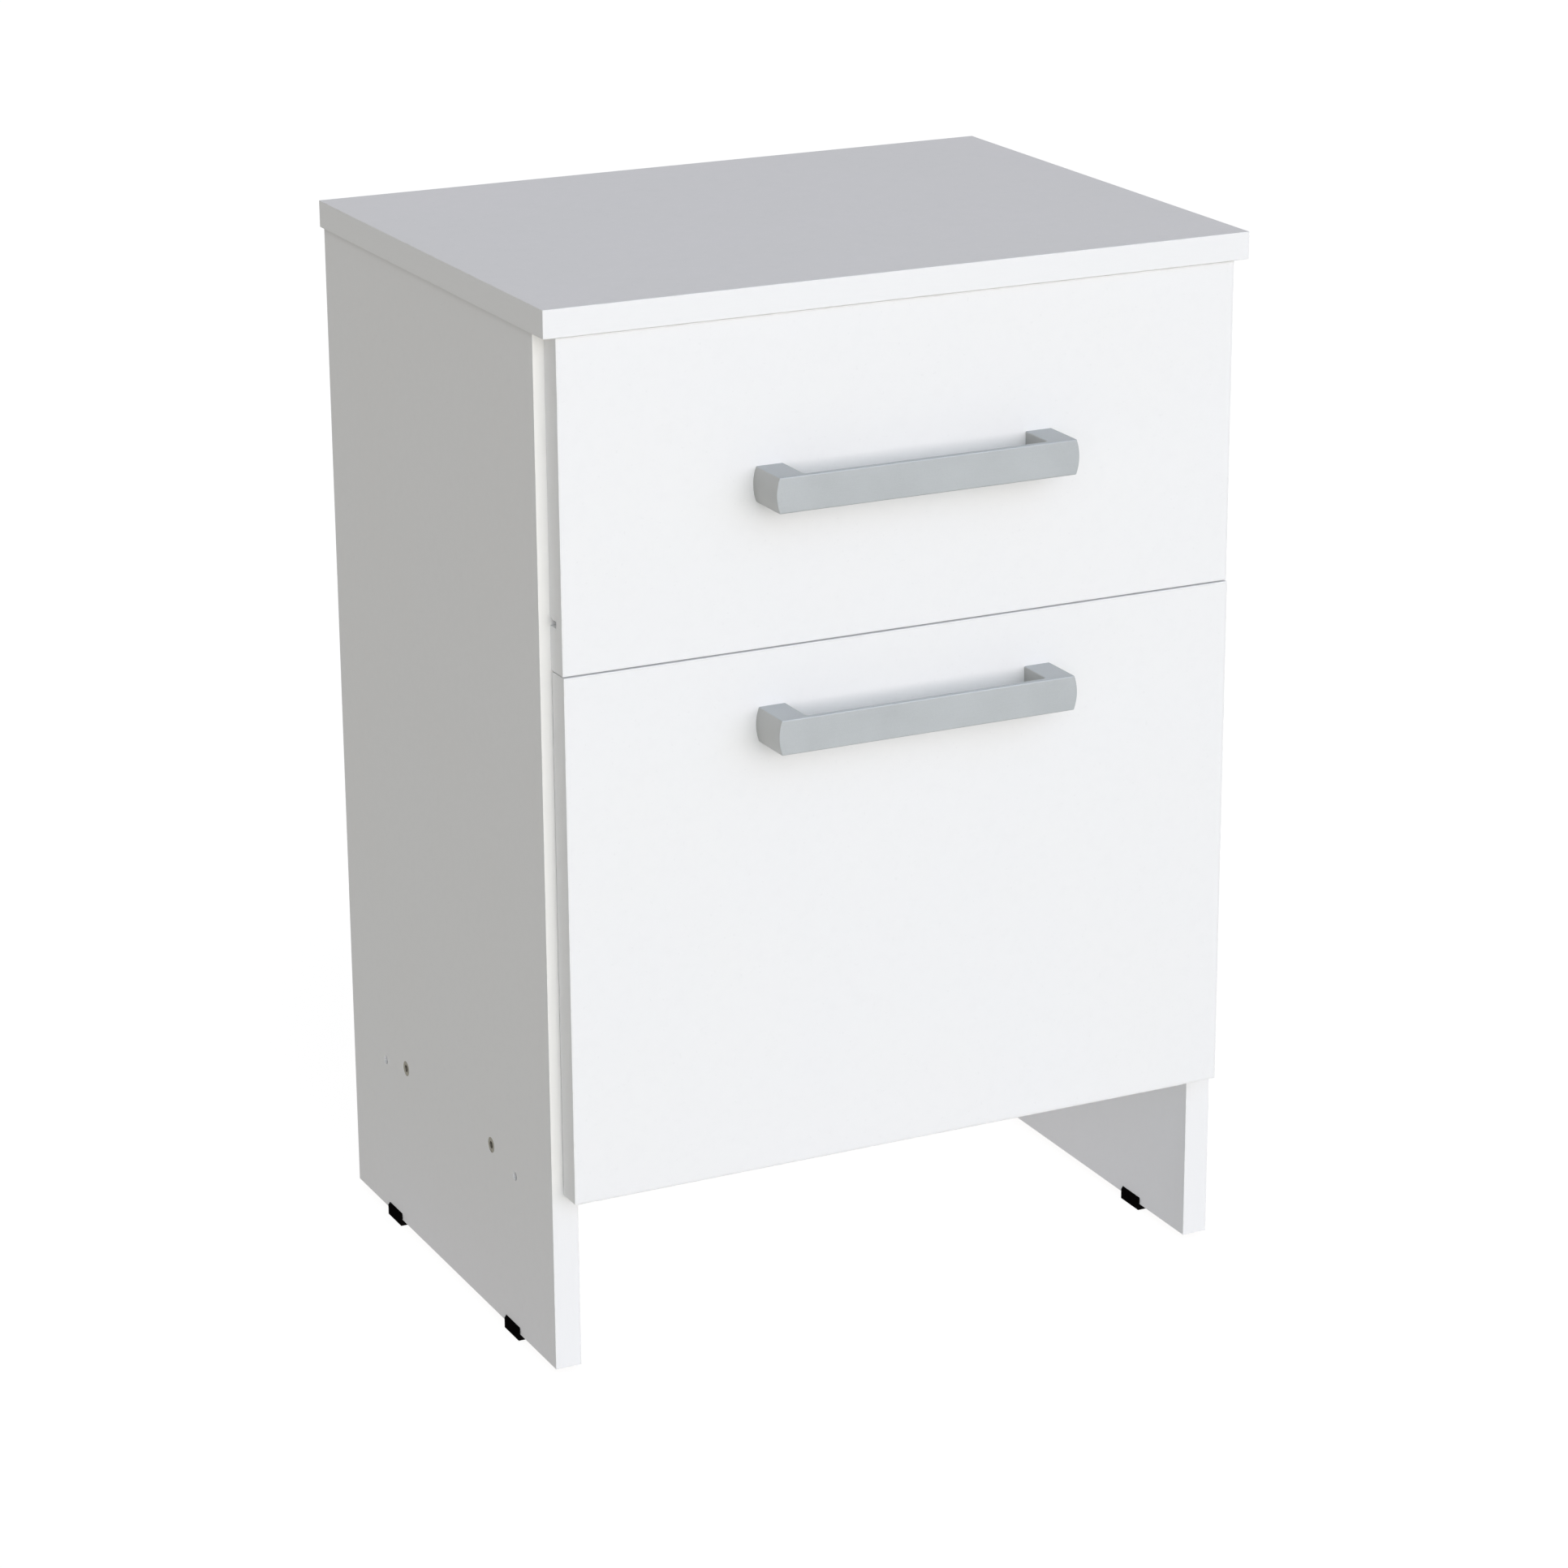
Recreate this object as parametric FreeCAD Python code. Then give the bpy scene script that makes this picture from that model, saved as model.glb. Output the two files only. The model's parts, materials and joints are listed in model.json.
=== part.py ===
import FreeCAD, Part
import math
import os

# Flat-pack bedside cabinet of 15 mm melamine-faced board: one drawer on roller slides over one side-hung door.
# Millimetres. While a shape is built, x = 0 is the cabinet's middle plane, y = 0 is the front edge of the side panels
# (+y goes to the back), and z = 0 is the floor. On export everything moves by Y_SHIFT in y, so that the origin is the
# middle of the whole object's footprint, on the floor.

V = FreeCAD.Vector
os.makedirs("parts", exist_ok=True)

# ---------------------------------------------------------------- driving dimensions
BOARD = 15.0                 # carcass, drawer front and door board
TOP_W, TOP_D = 411.0, 312.0  # top panel
TOP_OVER_FRONT = 17.5        # top panel in front of the side panels' front edge
CARCASS_W = 408.0            # over the two side panels
SIDE_D = 292.0               # side panel depth
SIDE_H = 572.5               # side panel height
FOOT_BASE = 3.5              # clip foot below the panel's edge
HALF_W = CARCASS_W / 2.0
IN_X = HALF_W - BOARD        # inner face of a side panel
MID_X = HALF_W - BOARD / 2.0
SIDE_Z0 = FOOT_BASE
SIDE_Z1 = SIDE_Z0 + SIDE_H   # underside of the top panel
TOP_Z1 = SIDE_Z1 + BOARD

PANEL_SETBACK = 3.0          # bottom panel and shelf behind the side panels' front edge
BOTTOM_Z0 = 95.8
SHELF_Z0 = 390.2
BACK_T = 2.5                 # hardboard back panel
BACK_Z0, BACK_Z1 = 97.0, 575.8
BACK_HALF = 202.0

FRONT_HALF = 197.75          # drawer front and door, half width
FRONT_T = 15.0
DF_Y1 = -0.1                 # back face of the drawer front
DF_Z0, DF_Z1 = 398.2, 575.4
DOOR_Y1 = -1.2               # back face of the door
DOOR_Z0, DOOR_Z1 = 105.2, 397.6
GROOVE_Z0, GROOVE_Z1 = 422.2, 426.0
GROOVE_DEPTH_FRONT = 8.0
GROOVE_DEPTH_SIDE = 6.0
GROOVE_LEAD = (3.5, 1.8)     # lead-in bevel over the groove's mouth in the drawer front: depth, height

# handles
H_HALF_STRAIGHT = 86.95      # half length at the corners
H_BULGE = 1.8                # convex end
H_HEIGHT = 19.2
H_PROJECTION = 27.5
H_BAR = 3.4                  # bar thickness in front of the finger gap
H_LEG_INNER = 71.4           # half length of the finger gap
H_SCREW_X = 80.0             # 160 mm between the screws
DRAWER_HANDLE_Z = 486.8
DOOR_HANDLE_Z = 357.2

# confirmat screws and the open holes below them, on both side panels
CONF_Y = (84.2, 209.5)
CONF_Z = 103.3
OPEN_Y = (51.0, 241.0)
OPEN_Z = 97.4
OPEN_R = 2.5
OPEN_DEPTH = 11.0

# clip feet
FOOT_LEN = 19.4
FOOT_WALL = 1.2
FOOT_UP = 4.2
FOOT_Y = (59.0, 233.0)

# cams, bolts and dowels
CAM_R = 7.5
CAM_EDGE = 24.0
FIT = 0.05                   # radial clearance of fasteners in their holes
JOINT_Y = (50.0, 240.0)      # cam bolts along the depth
DOWEL_Y = (82.0, 208.0)
DOWEL_R = 4.0

# drawer box
SLIDE_GAP = 12.5
DS_T = 12.0                  # drawer side and back board
DS_X1 = IN_X - SLIDE_GAP     # outer face of a drawer side
DS_X0 = DS_X1 - DS_T
DS_XM = DS_X0 + DS_T / 2.0
DS_Y1 = 250.0
DS_Z0, DS_Z1 = 411.4, 531.4
DB_Z0, DB_Z1 = 422.5, 425.7  # drawer bottom

# roller slides
SHEET = 1.2
RAIL_Z0 = 407.5
TRACK_Z = RAIL_Z0 + SHEET    # top of the cabinet rail's bottom flange
ROLLER_R = 7.95
ROLLER_W = 6.0
FRONT_ROLLER_Y = 12.0
REAR_ROLLER_Y = 240.0
AXLE_R = 2.0

# door hinges
HINGE_Z = (175.2, 327.2)
CUP_X = 175.25
CUP_R = 17.5
CUP_DEPTH = 11.5
PIN_A = (162.9, -7.0)        # pin that joins the arm and the link
PIN_C = (188.0, -4.2)        # pin that joins the link and the cup
PIN_R = 1.25

Y_SHIFT = -((TOP_D - TOP_OVER_FRONT) + (DOOR_Y1 - FRONT_T - H_PROJECTION)) / 2.0


# ---------------------------------------------------------------- helpers
def box(x0, x1, y0, y1, z0, z1):
    x0, x1 = min(x0, x1), max(x0, x1)
    y0, y1 = min(y0, y1), max(y0, y1)
    z0, z1 = min(z0, z1), max(z0, z1)
    return Part.makeBox(x1 - x0, y1 - y0, z1 - z0, V(x0, y0, z0))


def cyl(r, p, d, length):
    return Part.makeCylinder(r, length, V(*p), V(*d))


def cone(r0, r1, p, d, length):
    return Part.makeCone(r0, r1, length, V(*p), V(*d))


def cut(shape, *tools):
    for t in tools:
        shape = shape.cut(t)
    return shape


def fuse(first, *others):
    out = first
    for o in others:
        out = out.fuse(o)
    return out.removeSplitter()


def mirror(shape):
    return shape.mirror(V(0, 0, 0), V(1, 0, 0))


def both(shape):
    return [shape, mirror(shape)]


def board(x0, x1, y0, y1, z0, z1, r=0.3):
    """A board with its edge banding: a block with softened edges."""
    b = box(x0, x1, y0, y1, z0, z1)
    return b.makeFillet(r, b.Edges)


def prism(points, z0, z1):
    w = Part.makePolygon([V(x, y, z0) for x, y in points] + [V(points[0][0], points[0][1], z0)])
    return Part.Face(w).extrude(V(0, 0, z1 - z0))


def hexagon(af, p, axis, depth):
    """Hexagonal socket tool, af across flats, from point p along axis (+x or -x)."""
    r = af / math.sqrt(3.0)
    pts = [V(p[0], p[1] + r * math.cos(math.radians(60 * i)), p[2] + r * math.sin(math.radians(60 * i))) for i in range(7)]
    return Part.Face(Part.makePolygon(pts)).extrude(V(axis * depth, 0, 0))


def cross(p, d, up, size=4.6, width=1.1, depth=1.4):
    """Cross-recess tool centred on point p, going depth along d. up is any vector across d."""
    d = V(*d)
    u = V(*up)
    w = d.cross(u)
    arms = []
    for a, b in ((u, w), (w, u)):
        c = V(*p)
        q = [c + a * (size / 2) + b * (width / 2), c - a * (size / 2) + b * (width / 2),
             c - a * (size / 2) - b * (width / 2), c + a * (size / 2) - b * (width / 2)]
        arms.append(Part.Face(Part.makePolygon(q + [q[0]])).extrude(d * depth))
    return arms[0].fuse(arms[1])


def screw(p, d, length, r, head_r, head_h, up, recess=True):
    """Pan-head screw: p is the point under the head, the shank goes length along d, the head the other way."""
    n = (-d[0], -d[1], -d[2])
    top = (p[0] + n[0] * head_h, p[1] + n[1] * head_h, p[2] + n[2] * head_h)
    head = cone(head_r, head_r * 0.78, p, n, head_h)
    tip = (p[0] + d[0] * (length - 1.5 * r), p[1] + d[1] * (length - 1.5 * r), p[2] + d[2] * (length - 1.5 * r))
    body = fuse(head, cyl(r, p, d, length - 1.5 * r), cone(r, r * 0.25, tip, d, 1.5 * r))
    if recess:
        body = body.cut(cross(top, d, up, head_r * 1.15, head_r * 0.28, head_h * 0.6))
    return body


def save(name, *shapes):
    shapes = [s for s in shapes if s is not None]
    solids = []
    for s in shapes:
        solids += s.Solids
    out = solids[0].copy() if len(solids) == 1 else Part.makeCompound(solids)
    out.translate(V(0, Y_SHIFT, 0))
    for s in out.Solids:
        if not s.isValid() or s.Volume <= 0:
            print("BAD SOLID", name, s.Volume)
    out.exportStep("parts/%s.step" % name)
    NODES.append((name, len(solids), sum(s.Volume for s in solids)))


NODES = []

# ---------------------------------------------------------------- top panel
top = board(-TOP_W / 2, TOP_W / 2, -TOP_OVER_FRONT, TOP_D - TOP_OVER_FRONT, SIDE_Z1, TOP_Z1, 0.4)
tools = []
for x in (-MID_X, MID_X):
    tools += [cyl(2.5 + FIT, (x, y, SIDE_Z1), (0, 0, 1), 11.5) for y in JOINT_Y]
    tools += [cyl(DOWEL_R + FIT, (x, y, SIDE_Z1), (0, 0, 1), 10.5) for y in DOWEL_Y]
save("top_panel", cut(top, *tools))

# ---------------------------------------------------------------- side panels (built on +x, mirrored for the left)
NAIL_SIDE_Z = (140.0, 240.0, 340.0, 440.0, 540.0)
NAIL_X = 196.5
NAIL_R = 0.6
RAIL_SCREW_Y = (37.0, 133.0, 229.0)
RAIL_SCREW_Z = RAIL_Z0 + 11.2
PLATE_Y = 37.0
PLATE_DZ = 16.0


def side_tools():
    t = []
    for y in CONF_Y:
        t.append(cyl(3.5 + FIT, (IN_X - 1, y, CONF_Z), (1, 0, 0), BOARD + 2))
        t.append(cone(3.5 + FIT, 4.4 + FIT, (HALF_W - 2.5, y, CONF_Z), (1, 0, 0), 2.5))
        t.append(cyl(4.4 + FIT, (HALF_W, y, CONF_Z), (1, 0, 0), 1))
    for y in OPEN_Y:
        t.append(cyl(OPEN_R, (HALF_W + 1, y, OPEN_Z), (-1, 0, 0), OPEN_DEPTH + 1))
    for y in JOINT_Y:
        # shelf bolts, from inside
        t.append(cyl(2.5 + FIT, (IN_X - 1, y, SHELF_Z0 + BOARD / 2), (1, 0, 0), 12.5))
        # cam pocket and bolt channel for the top panel
        t.append(cyl(CAM_R + FIT, (IN_X - 1, y, SIDE_Z1 - CAM_EDGE), (1, 0, 0), 13.5))
        t.append(cyl(3.4 + FIT, (MID_X, y, SIDE_Z1 - CAM_EDGE), (0, 0, 1), CAM_EDGE + 1))
    for y in DOWEL_Y:
        t.append(cyl(DOWEL_R + FIT, (IN_X - 1, y, SHELF_Z0 + BOARD / 2), (1, 0, 0), 12.0))
        t.append(cyl(DOWEL_R + FIT, (MID_X, y, SIDE_Z1 + 1), (0, 0, -1), 22.0))
    for y in RAIL_SCREW_Y:
        t.append(cyl(1.7 + FIT, (IN_X - 1, y, RAIL_SCREW_Z), (1, 0, 0), 13.0))
    for z in NAIL_SIDE_Z:
        t.append(cyl(NAIL_R + FIT, (NAIL_X, SIDE_D + 1, z), (0, -1, 0), 20.0))
    return t


side = cut(board(IN_X, HALF_W, 0, SIDE_D, SIDE_Z0, SIDE_Z1), *side_tools())
plate_tools = []
for hz in HINGE_Z:
    for dz in (-PLATE_DZ, PLATE_DZ):
        plate_tools.append(cyl(1.75 + FIT, (IN_X - 1, PLATE_Y, hz + dz), (1, 0, 0), 13.5))
save("right_side_panel", cut(side, *plate_tools))
save("left_side_panel", mirror(side))

# ---------------------------------------------------------------- bottom panel and middle shelf
bottom = board(-IN_X, IN_X, PANEL_SETBACK, SIDE_D, BOTTOM_Z0, BOTTOM_Z0 + BOARD)
NAIL_LOW_X = (-110.0, 0.0, 110.0)
t = []
for y in CONF_Y:
    t += both(cyl(2.5 + FIT, (IN_X + 1, y, CONF_Z), (-1, 0, 0), 39.0))
for x in NAIL_LOW_X:
    t.append(cyl(NAIL_R + FIT, (x, SIDE_D + 1, CONF_Z), (0, -1, 0), 20.0))
save("bottom_panel", cut(bottom, *t))

shelf = board(-IN_X, IN_X, PANEL_SETBACK, SIDE_D, SHELF_Z0, SHELF_Z0 + BOARD)
SHELF_MZ = SHELF_Z0 + BOARD / 2
t = []
for y in JOINT_Y:
    t += both(cyl(CAM_R + FIT, (IN_X - CAM_EDGE, y, SHELF_Z0 - 1), (0, 0, 1), 13.5))
    t += both(cyl(3.4 + FIT, (IN_X - CAM_EDGE, y, SHELF_MZ), (1, 0, 0), CAM_EDGE + 1))
for y in DOWEL_Y:
    t += both(cyl(DOWEL_R + FIT, (IN_X + 1, y, SHELF_MZ), (-1, 0, 0), 22.0))
for x in NAIL_LOW_X:
    t.append(cyl(NAIL_R + FIT, (x, SIDE_D + 1, SHELF_MZ), (0, -1, 0), 20.0))
save("middle_shelf", cut(shelf, *t))

# ---------------------------------------------------------------- back panel and nails
back_y0, back_y1 = SIDE_D, SIDE_D + BACK_T
back = box(-BACK_HALF, BACK_HALF, back_y0, back_y1, BACK_Z0, BACK_Z1)
nail_places = [(sx * NAIL_X, z) for sx in (-1, 1) for z in NAIL_SIDE_Z]
nail_places += [(x, CONF_Z) for x in NAIL_LOW_X] + [(x, SHELF_MZ) for x in NAIL_LOW_X]
t, nails = [], []
for x, z in nail_places:
    t.append(cyl(NAIL_R + FIT, (x, back_y0 - 1, z), (0, 1, 0), 5))
    t.append(cyl(1.6 + FIT, (x, back_y1 - 0.5, z), (0, 1, 0), 2))
    nails.append(fuse(cyl(NAIL_R, (x, back_y1 - 0.2, z), (0, -1, 0), 17.0),
                      cone(NAIL_R, 0.1, (x, back_y1 - 17.2, z), (0, -1, 0), 1.5),
                      cyl(1.6, (x, back_y1 - 0.45, z), (0, 1, 0), 0.4)))
save("back_panel", cut(back, *t))
save("back_panel_nails", *nails)


# ---------------------------------------------------------------- cams, cam bolts, dowels
def cam_z(x, y, z_face, up):
    """Cam lock with its axis on z: face at z_face, body going up (+1) or down (-1) from it, bolt coming along +x."""
    d = (0, 0, up)
    body = cyl(CAM_R, (x, y, z_face), d, 12.2)
    mz = z_face + up * BOARD / 2
    body = cut(body, cyl(3.9, (x - 3.0, y, mz), (1, 0, 0), 14))
    body = body.cut(cross((x, y, z_face), d, (1, 0, 0), 7.0, 1.5, 2.4))
    return body


def bolt(p, d, thread_r=2.5, thread=10.5, reach=24.0):
    """Cam bolt: p is the cam's centre, d points to the panel's edge reach away; the thread goes on into the other board."""
    def at(s):
        return (p[0] + d[0] * s, p[1] + d[1] * s, p[2] + d[2] * s)
    return fuse(cyl(3.4, at(-2.0), d, 3.0), cyl(2.0, at(1.0), d, 5.0), cyl(3.3, at(6.0), d, reach - 6.0),
                cyl(thread_r - 0.02, at(reach), d, thread - 1.5), cone(thread_r - 0.02, 1.2, at(reach + thread - 1.5), d, 1.5))


shelf_cams, shelf_bolts, shelf_dowels = [], [], []
for y in JOINT_Y:
    shelf_cams += both(cam_z(IN_X - CAM_EDGE, y, SHELF_Z0 + 0.05, 1))
    shelf_bolts += both(bolt((IN_X - CAM_EDGE, y, SHELF_MZ), (1, 0, 0)))
for y in DOWEL_Y:
    shelf_dowels += both(cyl(DOWEL_R, (IN_X - 20.5, y, SHELF_MZ), (1, 0, 0), 30.5))


def side_cam(y):
    """Cam in the side panel's inner face, its axis on x, its bolt coming down from the top panel."""
    z = SIDE_Z1 - CAM_EDGE
    body = cyl(CAM_R, (IN_X + 0.05, y, z), (1, 0, 0), 12.2)
    body = cut(body, cyl(3.9, (MID_X, y, z - 3.0), (0, 0, 1), 14))
    return body.cut(cross((IN_X + 0.05, y, z), (1, 0, 0), (0, 0, 1), 7.0, 1.5, 2.4))


top_cams, top_bolts, top_dowels = [], [], []
for y in JOINT_Y:
    top_cams += both(side_cam(y))
    top_bolts += both(bolt((MID_X, y, SIDE_Z1 - CAM_EDGE), (0, 0, 1)))
for y in DOWEL_Y:
    top_dowels += both(cyl(DOWEL_R, (MID_X, y, SIDE_Z1 - 20.5), (0, 0, 1), 30.5))
save("top_cam_locks", *top_cams)
save("top_cam_bolts", *top_bolts)
save("top_dowels", *top_dowels)
save("shelf_cam_locks", *shelf_cams)
save("shelf_cam_bolts", *shelf_bolts)
save("shelf_dowels", *shelf_dowels)

# ---------------------------------------------------------------- confirmat screws
confirmats = []
for y in CONF_Y:
    c = fuse(cone(4.4, 3.5, (HALF_W - 0.1, y, CONF_Z), (-1, 0, 0), 2.5),
             cyl(3.5, (HALF_W - 2.6, y, CONF_Z), (-1, 0, 0), BOARD - 2.8),
             cyl(2.5, (IN_X + 0.2, y, CONF_Z), (-1, 0, 0), 34.5),
             cone(2.5, 1.4, (IN_X - 34.3, y, CONF_Z), (-1, 0, 0), 3.0))
    c = c.cut(hexagon(4.0, (HALF_W - 0.1, y, CONF_Z), -1, 2.2))
    confirmats += both(c)
save("confirmat_screws", *confirmats)


# ---------------------------------------------------------------- clip feet: a U channel pushed onto the panel's lower edge
def foot(yc):
    xi, xo = IN_X - 0.03, HALF_W + 0.03
    y0, y1 = yc - FOOT_LEN / 2, yc + FOOT_LEN / 2
    prof = [(xi - FOOT_WALL, 0.25), (xi - FOOT_WALL + 0.25, 0.0), (xo + FOOT_WALL - 0.25, 0.0), (xo + FOOT_WALL, 0.25),
            (xo + FOOT_WALL, FOOT_BASE + 2.6), (xo, FOOT_BASE + FOOT_UP), (xo, FOOT_BASE),
            (xi, FOOT_BASE), (xi, FOOT_BASE + FOOT_UP), (xi - FOOT_WALL, FOOT_BASE + 2.6)]
    pts = [V(x, y0, z) for x, z in prof]
    return Part.Face(Part.makePolygon(pts + [pts[0]])).extrude(V(0, y1 - y0, 0))


save("front_right_foot", foot(FOOT_Y[0]))
save("rear_right_foot", foot(FOOT_Y[1]))
save("front_left_foot", mirror(foot(FOOT_Y[0])))
save("rear_left_foot", mirror(foot(FOOT_Y[1])))


# ---------------------------------------------------------------- handles
def handle(y_face, zc):
    """Bow handle: one casting with a flat bar, two square legs and convex ends. Its legs stand on the plane y = y_face."""
    h = H_HEIGHT / 2
    a, b = H_HALF_STRAIGHT, H_HALF_STRAIGHT + H_BULGE
    def p(x, z):
        return V(x, y_face, zc + z)
    outline = Part.Wire([
        Part.makeLine(p(-a, h), p(a, h)),
        Part.Arc(p(a, h), p(b, 0), p(a, -h)).toShape(),
        Part.makeLine(p(a, -h), p(-a, -h)),
        Part.Arc(p(-a, -h), p(-b, 0), p(-a, h)).toShape()])
    body = Part.Face(outline).extrude(V(0, -H_PROJECTION, 0))
    gap = box(-H_LEG_INNER, H_LEG_INNER, y_face + 1, y_face - (H_PROJECTION - H_BAR), zc - h - 1, zc + h + 1)
    inner = [e for e in gap.Edges if abs(e.BoundBox.YMin - (y_face - (H_PROJECTION - H_BAR))) < 1e-6
             and e.BoundBox.YLength < 1e-6 and e.BoundBox.ZLength > 5]
    gap = gap.makeFillet(2.4, inner)
    body = body.cut(gap)
    # softened outer edges: everything except the edges on the mounting plane
    soft = [e for e in body.Edges if e.BoundBox.YMax < y_face - 0.5 or e.BoundBox.YLength > 5]
    try:
        body = body.makeFillet(0.7, soft)
    except Exception as err:
        print("handle fillet:", err)
    holes = [cyl(2.0 + FIT, (s * H_SCREW_X, y_face + 1, zc), (0, -1, 0), 12.0) for s in (-1, 1)]
    return cut(body, *holes)


def handle_screws(y_back, zc):
    return [screw((s * H_SCREW_X, y_back, zc), (0, -1, 0), FRONT_T + 9.5, 2.0, 3.9, 2.3, (1, 0, 0)) for s in (-1, 1)]


DF_Y0 = DF_Y1 - FRONT_T
DOOR_Y0 = DOOR_Y1 - FRONT_T
save("drawer_handle", handle(DF_Y0, DRAWER_HANDLE_Z))
save("door_handle", handle(DOOR_Y0, DOOR_HANDLE_Z))
save("drawer_handle_screws", *handle_screws(DF_Y1, DRAWER_HANDLE_Z))
save("door_handle_screws", *handle_screws(DOOR_Y1, DOOR_HANDLE_Z))

# ---------------------------------------------------------------- drawer
DRAWER_CAM_Z = 478.0
DRAWER_DOWEL_Z = (448.0, 508.0)
front = board(-FRONT_HALF, FRONT_HALF, DF_Y0, DF_Y1, DF_Z0, DF_Z1)
lead = [V(-FRONT_HALF - 1, DF_Y1 - GROOVE_LEAD[0], GROOVE_Z1 - 0.5), V(-FRONT_HALF - 1, DF_Y1 - GROOVE_LEAD[0], GROOVE_Z1),
        V(-FRONT_HALF - 1, DF_Y1 + 1, GROOVE_Z1 + GROOVE_LEAD[1] * (GROOVE_LEAD[0] + 1) / GROOVE_LEAD[0]),
        V(-FRONT_HALF - 1, DF_Y1 + 1, GROOVE_Z1 - 0.5)]
lead = Part.Face(Part.makePolygon(lead + [lead[0]])).extrude(V(2 * FRONT_HALF + 2, 0, 0))
t = [box(-FRONT_HALF - 1, FRONT_HALF + 1, DF_Y1 - GROOVE_DEPTH_FRONT, DF_Y1 + 1, GROOVE_Z0, GROOVE_Z1), lead]
t += [cyl(2.0 + FIT + 0.2, (s * H_SCREW_X, DF_Y1 + 1, DRAWER_HANDLE_Z), (0, -1, 0), FRONT_T + 2) for s in (-1, 1)]
t += both(cyl(2.5 + FIT, (DS_XM, DF_Y1 + 1, DRAWER_CAM_Z), (0, -1, 0), 12.5))
for z in DRAWER_DOWEL_Z:
    t += both(cyl(3.0 + FIT, (DS_XM, DF_Y1 + 1, z), (0, -1, 0), 12.0))
save("drawer_front", cut(front, *t))

BACK_SCREW_Z = (450.0, 508.0)
DRAWER_BACK_Y0 = DS_Y1 - DS_T
RAIL2_SCREW_Y = (32.0, 118.0, 204.0)
RAIL2_SCREW_X = DS_X1 - 5.5
dside = board(DS_X0, DS_X1, DF_Y1, DS_Y1, DS_Z0, DS_Z1, 0.3)
t = [box(DS_X0 - 1, DS_X0 + GROOVE_DEPTH_SIDE, DF_Y1 - 1, DS_Y1 + 1, GROOVE_Z0, GROOVE_Z1),
     cyl(CAM_R + FIT, (DS_X0 - 1, DF_Y1 + CAM_EDGE, DRAWER_CAM_Z), (1, 0, 0), 11.0),
     cyl(3.0 + FIT, (DS_XM, DF_Y1 - 1, DRAWER_CAM_Z), (0, 1, 0), CAM_EDGE + 1)]
for z in DRAWER_DOWEL_Z:
    t.append(cyl(3.0 + FIT, (DS_XM, DF_Y1 - 1, z), (0, 1, 0), 21.0))
for z in BACK_SCREW_Z:
    t.append(cyl(1.75 + FIT, (DS_X0 - 1, DS_Y1 - DS_T / 2, z), (1, 0, 0), DS_T + 2))
    t.append(cone(1.75 + FIT, 3.5 + FIT, (DS_X1 - 2.2, DS_Y1 - DS_T / 2, z), (1, 0, 0), 2.2))
for y in RAIL2_SCREW_Y:
    t.append(cyl(1.5 + FIT, (RAIL2_SCREW_X, y, DS_Z0 - 1), (0, 0, 1), 10.5))
dside = cut(dside, *t)
save("drawer_right_side", dside)
save("drawer_left_side", mirror(dside))

dback = board(-DS_X0, DS_X0, DRAWER_BACK_Y0, DS_Y1, DB_Z1 + 0.1, DS_Z1, 0.3)
DRAWER_BOTTOM_SCREW_X = (-110.0, 0.0, 110.0)
t = []
for z in BACK_SCREW_Z:
    t += both(cyl(1.75 + FIT, (DS_X0 + 1, DS_Y1 - DS_T / 2, z), (-1, 0, 0), 31.0))
for x in DRAWER_BOTTOM_SCREW_X:
    t.append(cyl(1.25 + FIT, (x, DS_Y1 - DS_T / 2, DB_Z1 - 1), (0, 0, 1), 13.0))
save("drawer_back", cut(dback, *t))

dbottom = box(-(DS_X0 + GROOVE_DEPTH_SIDE - 0.3), DS_X0 + GROOVE_DEPTH_SIDE - 0.3,
              DF_Y1 - GROOVE_DEPTH_FRONT + 0.3, DS_Y1, DB_Z0, DB_Z1)
save("drawer_bottom", cut(dbottom, *[cyl(1.25 + FIT, (x, DS_Y1 - DS_T / 2, DB_Z0 - 1), (0, 0, 1), 6) for x in DRAWER_BOTTOM_SCREW_X]))
save("drawer_bottom_screws", *[screw((x, DS_Y1 - DS_T / 2, DB_Z0), (0, 0, 1), 14.0, 1.25, 2.6, 1.4, (1, 0, 0)) for x in DRAWER_BOTTOM_SCREW_X])

back_screws = []
for z in BACK_SCREW_Z:
    yb = DS_Y1 - DS_T / 2
    s = fuse(cone(3.5, 1.75, (DS_X1 - 0.05, yb, z), (-1, 0, 0), 2.2), cyl(1.75, (DS_X1 - 2.25, yb, z), (-1, 0, 0), 34.0),
             cone(1.75, 0.3, (DS_X1 - 36.25, yb, z), (-1, 0, 0), 2.5))
    s = s.cut(cross((DS_X1 - 0.05, yb, z), (-1, 0, 0), (0, 0, 1), 4.0, 0.9, 1.2))
    back_screws += both(s)
save("drawer_back_screws", *back_screws)


def drawer_cam():
    y, z = DF_Y1 + CAM_EDGE, DRAWER_CAM_Z
    body = cyl(CAM_R, (DS_X0 + 0.05, y, z), (1, 0, 0), 9.6)
    body = cut(body, cyl(3.5, (DS_XM, y + 3.0, z), (0, -1, 0), 14))
    return body.cut(cross((DS_X0 + 0.05, y, z), (1, 0, 0), (0, 0, 1), 7.0, 1.5, 1.8))


def drawer_bolt():
    y, z = DF_Y1 + CAM_EDGE, DRAWER_CAM_Z
    return fuse(cyl(2.9, (DS_XM, y + 2.0, z), (0, -1, 0), 3.0), cyl(1.8, (DS_XM, y - 1.0, z), (0, -1, 0), 5.0),
                cyl(2.9, (DS_XM, y - 6.0, z), (0, -1, 0), CAM_EDGE - 6.0),
                cyl(2.48, (DS_XM, DF_Y1, z), (0, -1, 0), 9.0), cone(2.48, 1.2, (DS_XM, DF_Y1 - 9.0, z), (0, -1, 0), 1.5))


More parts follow.
